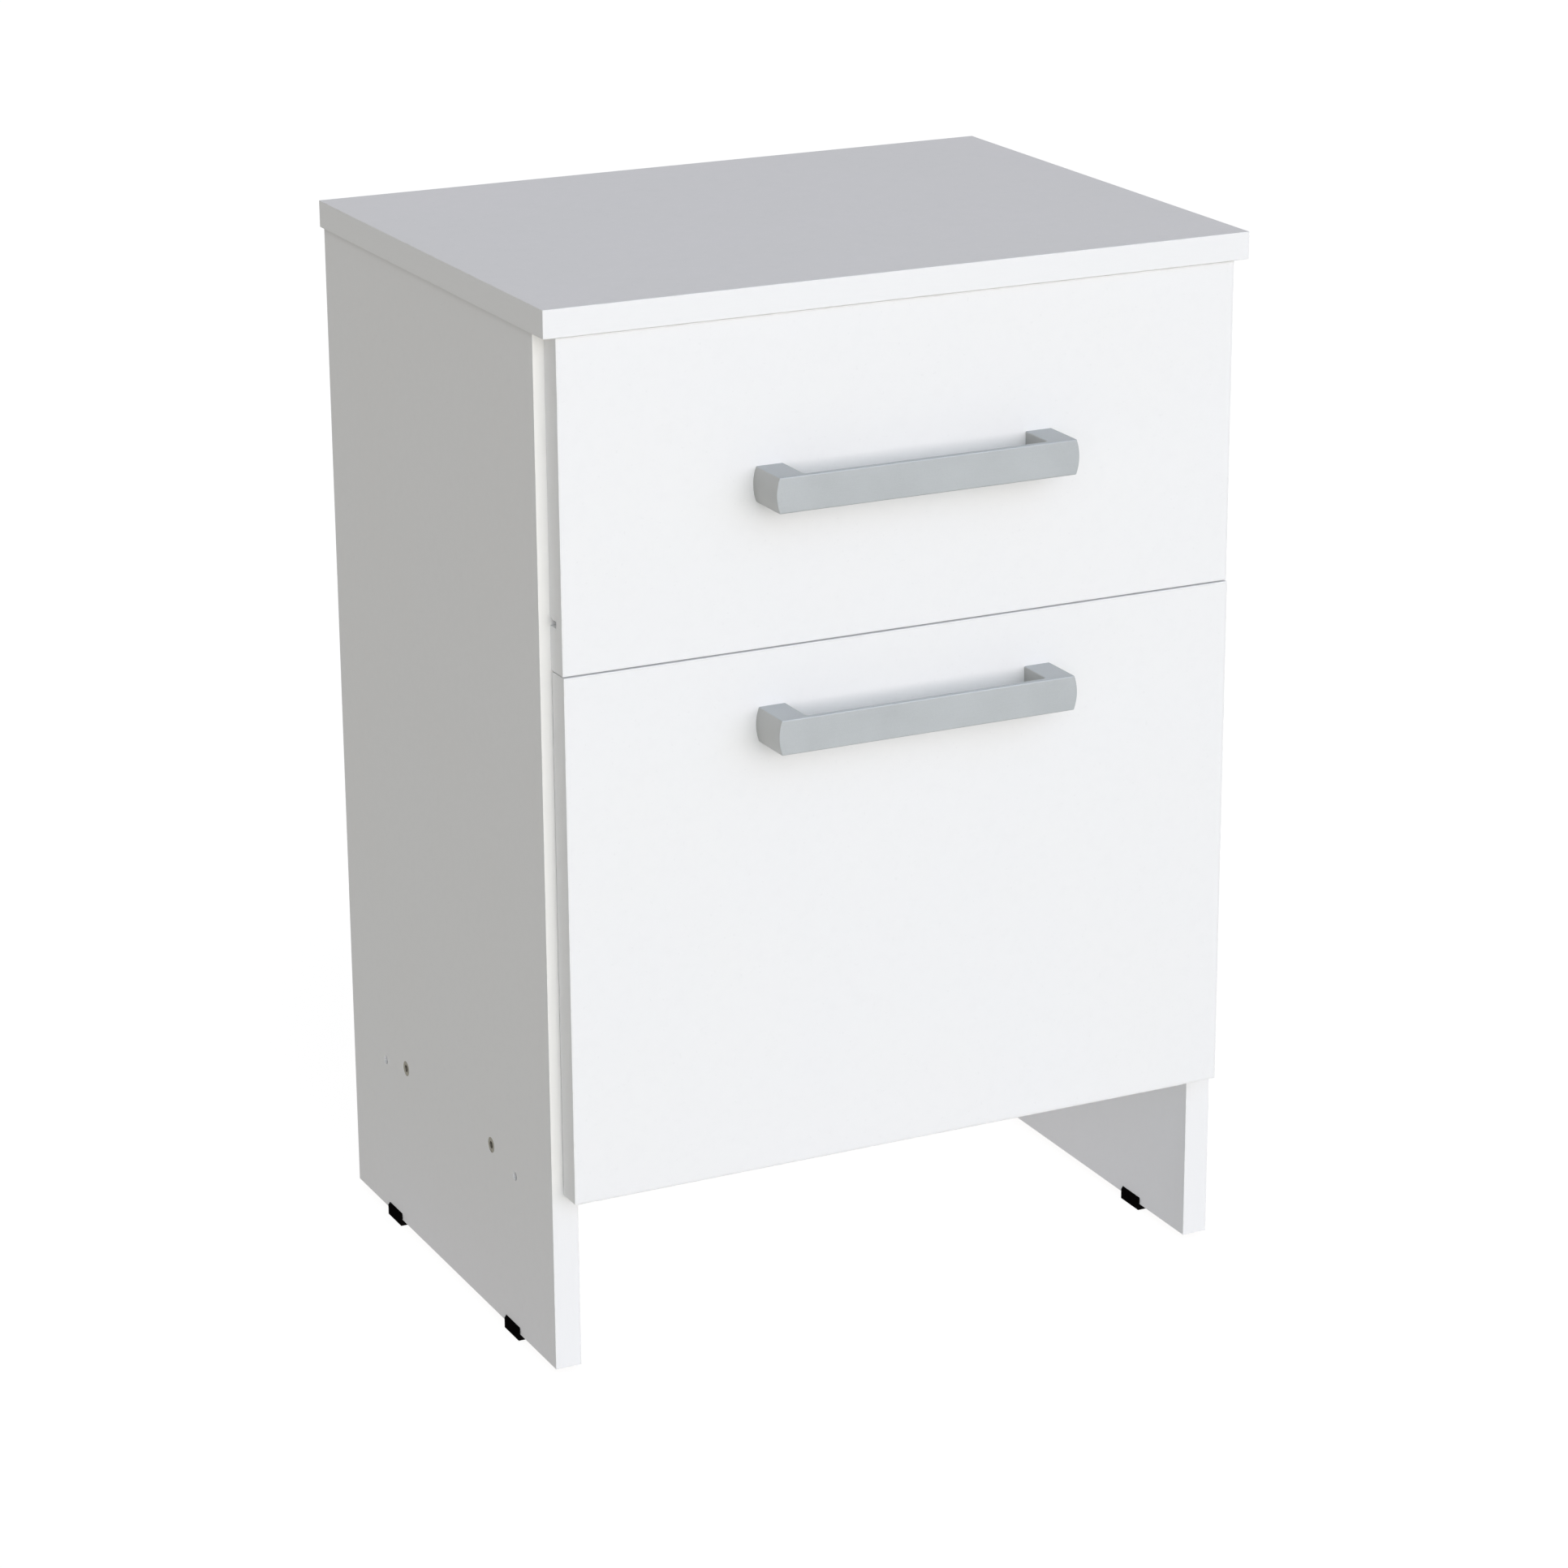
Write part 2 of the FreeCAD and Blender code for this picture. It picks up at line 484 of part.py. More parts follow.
save("drawer_cam_locks", *both(drawer_cam()))
save("drawer_cam_bolts", *both(drawer_bolt()))
dd = []
for z in DRAWER_DOWEL_Z:
    dd += both(cyl(3.0, (DS_XM, DF_Y1 - 10.5, z), (0, 1, 0), 30.0))
save("drawer_dowels", *dd)

# ---------------------------------------------------------------- roller slides (built on +x)
RAIL_Y0, RAIL_Y1 = 2.0, 252.0
RAIL_Z1 = TRACK_Z + 20.0 + SHEET
FLANGE_Z = TRACK_Z + 17.0     # underside of the drawer rail's outward flange
WEB_X0 = DS_X1                # drawer rail's web lies on the drawer side
WEB_X1 = DS_X1 + SHEET
CWEB_X0 = IN_X - SHEET
cab_rail = fuse(box(CWEB_X0, IN_X, RAIL_Y0, RAIL_Y1, RAIL_Z0, RAIL_Z1),
                box(WEB_X1 + 1.2, IN_X, RAIL_Y0, RAIL_Y1, RAIL_Z0, TRACK_Z),
                box(IN_X - 7.0, IN_X, RAIL_Y0 + 16.0, RAIL_Y1, RAIL_Z1 - SHEET, RAIL_Z1))
t = [cyl(1.7 + FIT, (CWEB_X0 - 1, y, RAIL_SCREW_Z), (1, 0, 0), 4) for y in RAIL_SCREW_Y]
t.append(cyl(AXLE_R, (CWEB_X0 - 1, FRONT_ROLLER_Y, TRACK_Z + 9.0), (1, 0, 0), 4))
cab_rail = cut(cab_rail, *t)
save("right_cabinet_rail", cab_rail)
save("left_cabinet_rail", mirror(cab_rail))

D_RAIL_Y0, D_RAIL_Y1 = DF_Y1 + 0.2, DS_Y1
drw_rail = fuse(box(WEB_X0, WEB_X1, D_RAIL_Y0, D_RAIL_Y1, DS_Z0 - SHEET, FLANGE_Z + SHEET),
                box(DS_X1 - 10.0, WEB_X1, D_RAIL_Y0, D_RAIL_Y1, DS_Z0 - SHEET, DS_Z0),
                box(WEB_X0, IN_X - 3.0, D_RAIL_Y0, D_RAIL_Y1, FLANGE_Z, FLANGE_Z + SHEET))
t = [cyl(1.5 + FIT, (RAIL2_SCREW_X, y, DS_Z0 - 3), (0, 0, 1), 5) for y in RAIL2_SCREW_Y]
t.append(cyl(AXLE_R, (WEB_X0 - 1, REAR_ROLLER_Y, TRACK_Z + 8.0), (1, 0, 0), 4))
drw_rail = cut(drw_rail, *t)
save("right_drawer_rail", drw_rail)
save("left_drawer_rail", mirror(drw_rail))


def roller(x0, y, z):
    """Plastic roller with a shallow groove at its rim and a running bore for its axle."""
    r = cyl(ROLLER_R, (x0, y, z), (1, 0, 0), ROLLER_W)
    r = r.makeChamfer(0.5, [e for e in r.Edges if e.Curve.TypeId == "Part::GeomCircle"])
    hub = cut(cyl(ROLLER_R - 1.6, (x0 - 0.1, y, z), (1, 0, 0), 0.7), cyl(3.6, (x0 - 1, y, z), (1, 0, 0), 3))
    hub2 = cut(cyl(ROLLER_R - 1.6, (x0 + ROLLER_W - 0.6, y, z), (1, 0, 0), 0.7), cyl(3.6, (x0 + ROLLER_W - 2, y, z), (1, 0, 0), 4))
    return cut(r, hub, hub2, cyl(AXLE_R + 0.06, (x0 - 1, y, z), (1, 0, 0), ROLLER_W + 2))


FR_X0 = CWEB_X0 - 1.2 - ROLLER_W
RR_X0 = WEB_X1 + 1.9
save("front_rollers", *both(roller(FR_X0, FRONT_ROLLER_Y, TRACK_Z + 9.0)))
save("rear_rollers", *both(roller(RR_X0, REAR_ROLLER_Y, TRACK_Z + 8.0)))
front_axle = fuse(cyl(AXLE_R, (IN_X, FRONT_ROLLER_Y, TRACK_Z + 9.0), (-1, 0, 0), IN_X - FR_X0 + 0.2),
                  cyl(3.0, (FR_X0 - 0.2, FRONT_ROLLER_Y, TRACK_Z + 9.0), (-1, 0, 0), 0.7))
front_axle = fuse(front_axle, cyl(3.2, (CWEB_X0, FRONT_ROLLER_Y, TRACK_Z + 9.0), (-1, 0, 0), 1.0))
rear_axle = fuse(cyl(AXLE_R, (WEB_X0, REAR_ROLLER_Y, TRACK_Z + 8.0), (1, 0, 0), RR_X0 + ROLLER_W + 0.2 - WEB_X0),
                 cyl(3.0, (RR_X0 + ROLLER_W + 0.2, REAR_ROLLER_Y, TRACK_Z + 8.0), (1, 0, 0), 0.6))
rear_axle = fuse(rear_axle, cyl(3.2, (WEB_X1, REAR_ROLLER_Y, TRACK_Z + 8.0), (1, 0, 0), 1.7))
save("front_roller_axles", *both(front_axle))
save("rear_roller_axles", *both(rear_axle))
rs = []
for y in RAIL_SCREW_Y:
    rs += both(screw((CWEB_X0, y, RAIL_SCREW_Z), (1, 0, 0), 13.0, 1.7, 3.2, 1.1, (0, 0, 1)))
save("cabinet_rail_screws", *rs)
ds = []
for y in RAIL2_SCREW_Y:
    ds += both(screw((RAIL2_SCREW_X, y, DS_Z0 - SHEET), (0, 0, 1), 10.0, 1.5, 2.8, 1.2, (1, 0, 0)))
save("drawer_rail_screws", *ds)

# ---------------------------------------------------------------- door
door = board(-FRONT_HALF, FRONT_HALF, DOOR_Y0, DOOR_Y1, DOOR_Z0, DOOR_Z1)
t = [cyl(2.0 + FIT + 0.2, (s * H_SCREW_X, DOOR_Y1 + 1, DOOR_HANDLE_Z), (0, -1, 0), FRONT_T + 2) for s in (-1, 1)]
CUP_SCREW_DX, CUP_SCREW_DZ = 8.0, 22.5
for hz in HINGE_Z:
    t.append(cyl(CUP_R + FIT, (CUP_X, DOOR_Y1 + 1, hz), (0, -1, 0), CUP_DEPTH + 1.1))
    for dz in (-CUP_SCREW_DZ, CUP_SCREW_DZ):
        t.append(cyl(1.75 + FIT, (CUP_X - CUP_SCREW_DX, DOOR_Y1 + 1, hz + dz), (0, -1, 0), 13.2))
save("door_panel", cut(door, *t))

BUMPER_X = -193.4
save("door_bumpers", *[cone(3.2, 2.6, (BUMPER_X, DOOR_Y1, z), (0, 1, 0), 1.05) for z in (122.0, 380.0)])

# ---------------------------------------------------------------- door hinges: arm and plate on the right side panel,
# one swinging link, cup in the door
cups, arms, plates, links, pins_a, pins_c, cup_screws, plate_screws, arm_screws = [], [], [], [], [], [], [], [], []
LINK_HALF = 4.6               # half width of the link along z
EAR_IN, EAR_OUT = 4.9, 6.1    # arm ears
LUG_IN, LUG_OUT = 4.9, 7.4    # lugs inside the cup
PLATE_X0 = IN_X - 2.5


def cup(hz):
    y0 = DOOR_Y1 - CUP_DEPTH
    body = cyl(CUP_R, (CUP_X, y0, hz), (0, 1, 0), CUP_DEPTH)
    flange = box(CUP_X - 20.0, CUP_X + 17.0, DOOR_Y1, DOOR_Y1 + 0.9, hz - 18.0, hz + 18.0)
    wings = box(CUP_X - CUP_SCREW_DX - 6.0, CUP_X - CUP_SCREW_DX + 6.0, DOOR_Y1, DOOR_Y1 + 0.9, hz - 29.0, hz + 29.0)
    body = fuse(body, flange, wings)
    bowl = cyl(CUP_R - 1.0, (CUP_X, y0 + 1.0, hz), (0, 1, 0), CUP_DEPTH + 2)
    # two lugs near the hinge side of the bowl carry the link's pin
    lugs = []
    for s in (-1, 1):
        z0, z1 = sorted((hz + s * LUG_IN, hz + s * LUG_OUT))
        lug = box(PIN_C[0] - 3.2, CUP_X + CUP_R - 0.5, y0 + 0.5, DOOR_Y1, z0, z1)
        lugs.append(lug.common(cyl(CUP_R - 0.5, (CUP_X, y0 + 0.5, hz), (0, 1, 0), CUP_DEPTH)))
    body = body.cut(bowl)
    body = fuse(body, *lugs)
    holes = [cyl(PIN_R, (PIN_C[0], PIN_C[1], hz - LUG_OUT - 0.1), (0, 0, 1), 2 * LUG_OUT + 0.2)]
    for dz in (-CUP_SCREW_DZ, CUP_SCREW_DZ):
        holes.append(cyl(1.75 + FIT, (CUP_X - CUP_SCREW_DX, DOOR_Y1 - 1, hz + dz), (0, 1, 0), 4))
    return cut(body, *holes)


def link(hz):
    """Flat link with a barrel at each end."""
    ax, ay = PIN_A
    cx, cy = PIN_C
    L = math.hypot(cx - ax, cy - ay)
    ux, uy = (cx - ax) / L, (cy - ay) / L
    nx, ny = -uy, ux
    w = 0.9
    pts = [(ax + nx * w, ay + ny * w), (cx + nx * w, cy + ny * w), (cx - nx * w, cy - ny * w), (ax - nx * w, ay - ny * w)]
    body = fuse(prism(pts, hz - LINK_HALF, hz + LINK_HALF),
                cyl(2.3, (ax, ay, hz - LINK_HALF), (0, 0, 1), 2 * LINK_HALF),
                cyl(2.3, (cx, cy, hz - LINK_HALF), (0, 0, 1), 2 * LINK_HALF))
    return cut(body, cyl(PIN_R + FIT, (ax, ay, hz - 10), (0, 0, 1), 20), cyl(PIN_R + FIT, (cx, cy, hz - 10), (0, 0, 1), 20))


def arm(hz):
    """Cranked channel arm: a web that lies along the side panel, then steps inwards, and two ears at its nose."""
    ax, ay = PIN_A
    outer = [(PLATE_X0 - 0.05, 60.0), (PLATE_X0 - 7.5, 60.0), (PLATE_X0 - 7.5, 17.0), (ax - 2.3, 9.0), (ax - 2.3, ay - 1.0),
             (ax - 1.2, ay - 2.3), (ax + 1.2, ay - 2.3), (ax + 2.3, ay - 1.0), (ax + 2.3, 3.0), (PLATE_X0 - 0.05, 11.0)]
    body = prism(outer, hz - EAR_OUT, hz + EAR_OUT)
    # hollow between the ears, open towards the side panel and the nose
    inner = [(PLATE_X0 + 1.0, 61.0), (PLATE_X0 - 6.3, 61.0), (PLATE_X0 - 6.3, 17.9), (ax - 1.3, 9.9), (ax - 1.3, 2.5),
             (ax - 6.0, 2.5), (ax - 6.0, ay - 6.0), (ax + 6.0, ay - 6.0), (ax + 6.0, 2.0), (PLATE_X0 + 1.0, 9.0)]
    body = body.cut(prism(inner, hz - EAR_IN, hz + EAR_IN))
    return body.cut(cyl(PIN_R, (ax, ay, hz - 10), (0, 0, 1), 20))


def plate(hz):
    base = box(PLATE_X0, IN_X, PLATE_Y - 6.0, PLATE_Y + 6.0, hz - 24.0, hz + 24.0)
    base = fuse(base, box(PLATE_X0, IN_X, 12.0, 62.0, hz - 8.0, hz + 8.0),
                box(PLATE_X0 - 4.0, IN_X, 22.0, 52.0, hz - 3.6, hz + 3.6))
    holes = [cyl(1.75 + FIT, (PLATE_X0 - 1, PLATE_Y, hz + dz), (1, 0, 0), 6) for dz in (-PLATE_DZ, PLATE_DZ)]
    holes.append(cyl(1.9 + FIT, (PLATE_X0 - 6, 44.0, hz), (1, 0, 0), 7.5))
    return cut(base, *holes)


for hz in HINGE_Z:
    cups.append(cup(hz))
    links.append(link(hz))
    a = arm(hz)
    a = a.cut(cyl(1.9 + FIT, (PLATE_X0 - 10, 44.0, hz), (1, 0, 0), 7))
    arms.append(a)
    plates.append(plate(hz))
    pins_a.append(cyl(PIN_R, (PIN_A[0], PIN_A[1], hz - EAR_OUT - 0.3), (0, 0, 1), 2 * EAR_OUT + 0.6))
    pins_c.append(cyl(PIN_R, (PIN_C[0], PIN_C[1], hz - LUG_OUT), (0, 0, 1), 2 * LUG_OUT))
    for dz in (-CUP_SCREW_DZ, CUP_SCREW_DZ):
        cup_screws.append(screw((CUP_X - CUP_SCREW_DX, DOOR_Y1 + 0.9, hz + dz), (0, -1, 0), 12.5, 1.75, 3.4, 1.6, (1, 0, 0)))
    for dz in (-PLATE_DZ, PLATE_DZ):
        plate_screws.append(screw((PLATE_X0, PLATE_Y, hz + dz), (1, 0, 0), 14.0, 1.75, 3.6, 1.7, (0, 0, 1)))
    arm_screws.append(screw((PLATE_X0 - 7.5, 44.0, hz), (1, 0, 0), 9.0, 1.9, 3.6, 1.6, (0, 0, 1)))
save("hinge_cups", *cups)
save("hinge_links", *links)
save("hinge_arms", *arms)
save("hinge_mounting_plates", *plates)
save("hinge_arm_pins", *pins_a)
save("hinge_cup_pins", *pins_c)
save("hinge_cup_screws", *cup_screws)
save("hinge_plate_screws", *plate_screws)
save("hinge_arm_screws", *arm_screws)

# ---------------------------------------------------------------- summary
print(len(NODES), "nodes; Y_SHIFT =", Y_SHIFT)
for n in NODES:
    print("%-26s solids %2d  volume %10.1f" % n)
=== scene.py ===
import json
import math

import bmesh
import bpy
from mathutils import Matrix, Vector


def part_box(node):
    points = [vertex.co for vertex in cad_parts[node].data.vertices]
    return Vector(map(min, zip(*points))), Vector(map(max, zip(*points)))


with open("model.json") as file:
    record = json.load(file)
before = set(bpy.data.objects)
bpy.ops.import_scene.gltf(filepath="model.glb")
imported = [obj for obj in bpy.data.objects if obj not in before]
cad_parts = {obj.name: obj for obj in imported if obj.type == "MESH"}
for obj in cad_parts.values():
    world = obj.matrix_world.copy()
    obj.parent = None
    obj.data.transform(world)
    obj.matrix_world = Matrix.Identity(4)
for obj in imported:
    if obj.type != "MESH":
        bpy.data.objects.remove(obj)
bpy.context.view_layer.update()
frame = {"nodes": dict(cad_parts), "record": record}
NODES = frame["nodes"]
MM = 0.001


# ============================================================================================ shader building blocks
class Graph:
    """A material's node tree, with short calls for the nodes the materials below share. Lengths are metres."""

    def __init__(self, name):
        self.mat = bpy.data.materials.new(name)
        self.mat.use_nodes = True
        self.tree = self.mat.node_tree
        self.tree.nodes.clear()
        self.out = self.tree.nodes.new("ShaderNodeOutputMaterial")
        self.bsdf = self.tree.nodes.new("ShaderNodeBsdfPrincipled")
        self.tree.links.new(self.bsdf.outputs["BSDF"], self.out.inputs["Surface"])
        self.coord = self.tree.nodes.new("ShaderNodeTexCoord")
        self.p = self.coord.outputs["Object"]
        self.normal = self.coord.outputs["Normal"]

    def node(self, kind, **props):
        n = self.tree.nodes.new(kind)
        for k, v in props.items():
            setattr(n, k, v)
        return n

    def put(self, socket, value):
        if isinstance(value, bpy.types.NodeSocket):
            self.tree.links.new(value, socket)
        elif isinstance(value, (tuple, list)) and len(value) == 3 and socket.type == "RGBA":
            socket.default_value = (*value, 1.0)
        else:
            socket.default_value = value

    def set(self, **inputs):
        for k, v in inputs.items():
            self.put(self.bsdf.inputs[k.replace("_", " ")], v)

    def math(self, op, a, b=0.0, c=0.0, clamp=False):
        n = self.node("ShaderNodeMath", operation=op, use_clamp=clamp)
        self.put(n.inputs[0], a)
        self.put(n.inputs[1], b)
        self.put(n.inputs[2], c)
        return n.outputs[0]

    def add(self, a, b):
        return self.math("ADD", a, b)

    def sub(self, a, b):
        return self.math("SUBTRACT", a, b)

    def mul(self, a, b):
        return self.math("MULTIPLY", a, b)

    def low(self, *values):
        out = values[0]
        for v in values[1:]:
            out = self.math("MINIMUM", out, v)
        return out

    def high(self, *values):
        out = values[0]
        for v in values[1:]:
            out = self.math("MAXIMUM", out, v)
        return out

    def inv(self, a):
        return self.math("SUBTRACT", 1.0, a)

    def absolute(self, a):
        return self.math("ABSOLUTE", a)

    def xyz(self, v):
        n = self.node("ShaderNodeSeparateXYZ")
        self.put(n.inputs[0], v)
        return n.outputs

    def vec(self, x, y, z):
        n = self.node("ShaderNodeCombineXYZ")
        for s, v in zip(n.inputs, (x, y, z)):
            self.put(s, v)
        return n.outputs[0]

    def stretch(self, v, sx, sy, sz):
        n = self.node("ShaderNodeVectorMath", operation="MULTIPLY")
        self.put(n.inputs[0], v)
        n.inputs[1].default_value = (sx, sy, sz)
        return n.outputs[0]

    def shift(self, v, dx, dy, dz):
        n = self.node("ShaderNodeVectorMath", operation="ADD")
        self.put(n.inputs[0], v)
        n.inputs[1].default_value = (dx, dy, dz)
        return n.outputs[0]

    def noise(self, v, size, detail=2.0, rough=0.5, distortion=0.0):
        """size is the feature size in metres (for v in metres)."""
        n = self.node("ShaderNodeTexNoise")
        self.put(n.inputs["Vector"], v)
        n.inputs["Scale"].default_value = 1.0 / size
        n.inputs["Detail"].default_value = detail
        n.inputs["Roughness"].default_value = rough
        n.inputs["Distortion"].default_value = distortion
        return n.outputs["Fac"]

    def cells(self, v, size, feature="F1", randomness=1.0):
        n = self.node("ShaderNodeTexVoronoi", feature=feature)
        self.put(n.inputs["Vector"], v)
        n.inputs["Scale"].default_value = 1.0 / size
        n.inputs["Randomness"].default_value = randomness
        return n.outputs

    def step(self, v, a, b, lo=0.0, hi=1.0):
        n = self.node("ShaderNodeMapRange", interpolation_type="SMOOTHSTEP", clamp=True)
        self.put(n.inputs["Value"], v)
        n.inputs["From Min"].default_value = a
        n.inputs["From Max"].default_value = b
        n.inputs["To Min"].default_value = lo
        n.inputs["To Max"].default_value = hi
        return n.outputs["Result"]

    def remap(self, v, a, b, lo, hi):
        n = self.node("ShaderNodeMapRange", clamp=True)
        self.put(n.inputs["Value"], v)
        n.inputs["From Min"].default_value = a
        n.inputs["From Max"].default_value = b
        n.inputs["To Min"].default_value = lo
        n.inputs["To Max"].default_value = hi
        return n.outputs["Result"]

    def colour(self, f, a, b):
        n = self.node("ShaderNodeMix", data_type="RGBA", clamp_factor=True)
        self.put(n.inputs[0], f)
        self.put(n.inputs[6], a)
        self.put(n.inputs[7], b)
        return n.outputs[2]

    def value(self, f, a, b):
        n = self.node("ShaderNodeMix", data_type="FLOAT", clamp_factor=True)
        self.put(n.inputs[0], f)
        self.put(n.inputs[2], a)
        self.put(n.inputs[3], b)
        return n.outputs[0]

    def ramp(self, f, *stops):
        n = self.node("ShaderNodeValToRGB")
        self.put(n.inputs[0], f)
        e = n.color_ramp.elements
        while len(e) < len(stops):
            e.new(0.5)
        for el, (pos, col) in zip(e, stops):
            el.position = pos
            el.color = (*col, 1.0)
        return n.outputs[0]

    def bump(self, height, distance, strength=1.0, over=None):
        """height runs 0 to 1 and stands for distance metres."""
        n = self.node("ShaderNodeBump")
        n.inputs["Strength"].default_value = strength
        n.inputs["Distance"].default_value = distance
        self.put(n.inputs["Height"], height)
        if over is not None:
            self.put(n.inputs["Normal"], over)
        return n.outputs["Normal"]


AXES = {"x": 0, "y": 1, "z": 2}


def chipboard(g, thin, depth):
    """Raw particle board: flat flakes lying in the board's plane, finer towards the two faces. depth is the distance to the
    nearer face. Returns colour, height and roughness."""
    k = [1.0, 1.0, 1.0]
    k[thin] = 3.2
    v = g.stretch(g.p, *k)
    coarse = g.cells(v, 2.6 * MM)
    fine = g.cells(g.shift(v, 0.7, 0.3, 0.9), 0.9 * MM)
    tone_c = g.xyz(coarse["Color"])[0]
    tone_f = g.xyz(fine["Color"])[0]
    skin = g.step(depth, 1.6 * MM, 3.4 * MM, 1.0, 0.0)
    tone = g.value(skin, g.add(g.mul(tone_c, 0.72), g.mul(tone_f, 0.28)), tone_f)
    col = g.ramp(tone, (0.0, (0.20, 0.115, 0.055)), (0.3, (0.37, 0.235, 0.125)), (0.65, (0.50, 0.345, 0.20)), (1.0, (0.66, 0.50, 0.32)))
    fibre = g.noise(v, 0.35 * MM, 3.0, 0.65)
    col = g.colour(g.mul(g.step(fibre, 0.35, 0.62, 1.0, 0.0), 0.55), col, (0.15, 0.085, 0.04))
    gap = g.step(g.cells(v, 2.6 * MM, "DISTANCE_TO_EDGE")["Distance"], 0.0, 0.16)
    gap = g.value(skin, gap, 1.0)
    col = g.colour(g.mul(g.inv(gap), 0.45), col, (0.09, 0.05, 0.025))
    height = g.add(g.mul(fibre, 0.45), g.add(g.mul(tone, 0.25), g.mul(gap, 0.3)))
    return col, height, g.remap(fibre, 0.3, 0.7, 0.78, 0.95)


def board(name, node, thin, raw=(), tint=(0.870, 0.872, 0.876), band=0.8, sealed=(), upright=False):
    """Melamine-faced particle board. thin is the thickness axis; raw lists the sides that have no edge banding, such as
    '+y'.
    Surfaces more than a skin below the board's outer planes, such as grooves and holes, show the core, except inside
    the boxes in sealed, (low corner, high corner) in metres, which are finished white like the board's faces. upright
    is for the
    two side panels: their colour gets painted shade just under the top's overhang, standing in for the overhang's
    shadow, and their front strip is painted a lighter, warmer white as painted light."""
    g = Graph(name)
    lo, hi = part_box(node)
    t = AXES[thin]
    p, n = g.xyz(g.p), g.xyz(g.normal)
    dist = []
    for a in range(3):
        dist.append((g.sub(p[a], lo[a]), g.sub(hi[a], p[a])))
    face_depth = g.low(*dist[t])
    others = [d for a in range(3) if a != t for d in dist[a]]
    edge_dist = g.low(*others)
    inside = g.low(face_depth, edge_dist)
    cut = g.step(inside, 0.24 * MM, 0.34 * MM)          # holes and grooves
    is_face = g.step(g.absolute(n[t]), 0.62, 0.80)
    paper = g.step(face_depth, 0.16 * MM, 0.24 * MM)    # on raw edges, the paper skin's thickness stays white
    bare = None
    for side in raw:
        a, sign = AXES[side[1]], (1.0 if side[0] == "+" else -1.0)
        m = g.mul(g.step(g.mul(n[a], sign), 0.70, 0.86), paper)
        bare = m if bare is None else g.high(bare, m)
    core = cut if bare is None else g.high(cut, bare)
    for low, high in sealed:
        inside_box = 1.0
        for a in range(3):
            inside_box = g.mul(g.mul(g.math("GREATER_THAN", p[a], low[a]), g.math("LESS_THAN", p[a], high[a])), inside_box)
        core = g.mul(core, g.inv(inside_box))

    # white decor paper: a faint cloudiness, fine pores and a pearl-grain emboss
    cloud = g.noise(g.p, 85 * MM, 3.0, 0.55)
    mottle = g.noise(g.p, 6 * MM, 4.0, 0.6)
    pearl = g.noise(g.p, 0.75 * MM, 2.0, 0.55, 0.4)
    pore = g.step(g.noise(g.shift(g.p, 3.1, 1.7, 0.4), 1.9 * MM, 1.0, 0.4), 0.70, 0.78)
    dark = tuple(c * 0.955 for c in tint)
    warm = (tint[0] * 1.004, tint[1] * 0.998, tint[2] * 0.985)
    white = g.colour(g.mul(g.step(cloud, 0.35, 0.68), 0.35), tint, warm)
    white = g.colour(g.mul(g.step(mottle, 0.42, 0.75), 0.22), white, dark)
    white = g.colour(g.mul(pore, 0.30), white, tuple(c * 0.90 for c in tint))
    rough = g.add(g.remap(cloud, 0.3, 0.7, 0.40, 0.47), g.remap(mottle, 0.3, 0.7, -0.03, 0.04))

    # edge banding: plain plastic strip, smoother than the face, with a hairline of glue where it meets the face
    band_col = tuple(c * 1.0 for c in tint)
    band_streak = g.noise(g.stretch(g.p, *[0.05 if a != t else 1.0 for a in range(3)]), 0.5 * MM, 2.0, 0.5)
    edge_white = g.colour(g.mul(g.step(band_streak, 0.45, 0.7), 0.16), band_col, dark)
    on_band = g.high(g.inv(is_face), g.step(edge_dist, (band - 0.02) * MM, (band + 0.02) * MM, 1.0, 0.0))
    has_band = 1.0
    if raw:
        rawn = []
        for side in raw:
            a, sign = AXES[side[1]], side[0]
            rawn.append(dist[a][1] if sign == "+" else dist[a][0])
        near_raw = g.step(g.low(*rawn), 1.2 * MM, 1.6 * MM)   # no strip drawn along a raw edge
        has_band = near_raw
        on_band = g.mul(on_band, near_raw)
    white = g.colour(on_band, white, edge_white)
    rough = g.value(on_band, rough, g.remap(band_streak, 0.3, 0.7, 0.34, 0.40))
    glue = g.mul(g.step(g.absolute(g.sub(edge_dist, band * MM)), 0.03 * MM, 0.09 * MM, 1.0, 0.0), is_face)
    glue = g.mul(glue, has_band)
    white = g.colour(g.mul(glue, 0.30), white, (0.55, 0.53, 0.49))

    # handling wear: the arrises go slightly grey and duller in patches
    rub = g.mul(g.step(edge_dist, 0.0, 1.1 * MM, 1.0, 0.0), g.step(g.low(*[g.high(d, 0.0) for d in dist[t]]), 0.0, 1.1 * MM, 1.0, 0.0))
    patch = g.step(g.noise(g.p, 11 * MM, 4.0, 0.65), 0.50, 0.68)
    wear = g.mul(g.mul(rub, patch), 0.28)
    white = g.colour(wear, white, (0.64, 0.63, 0.60))
    rough = g.add(rough, g.mul(wear, 0.35))

    if upright:
        # painted shade: the panel's faces are darkened just under the top's overhang, standing in for the shadow the
        # overhang casts
        under = g.step(g.sub(hi[2], p[2]), 1.0 * MM, 5.6 * MM, 1.0, 0.0)
        under = g.mul(g.mul(g.mul(under, under), under), is_face)
        white = g.colour(g.mul(under, 0.105), white, (0.0, 0.0, 0.0))
        # painted light: the front edge strip, from about the door's bottom edge up, is painted a lighter, warmer white
        # than the rest of the board
        strip = g.step(g.mul(n[1], -1.0), 0.62, 0.80)
        strip = g.mul(strip, g.step(p[2], 96 * MM, 118 * MM))
        white = g.colour(strip, white, (0.930, 0.925, 0.905))

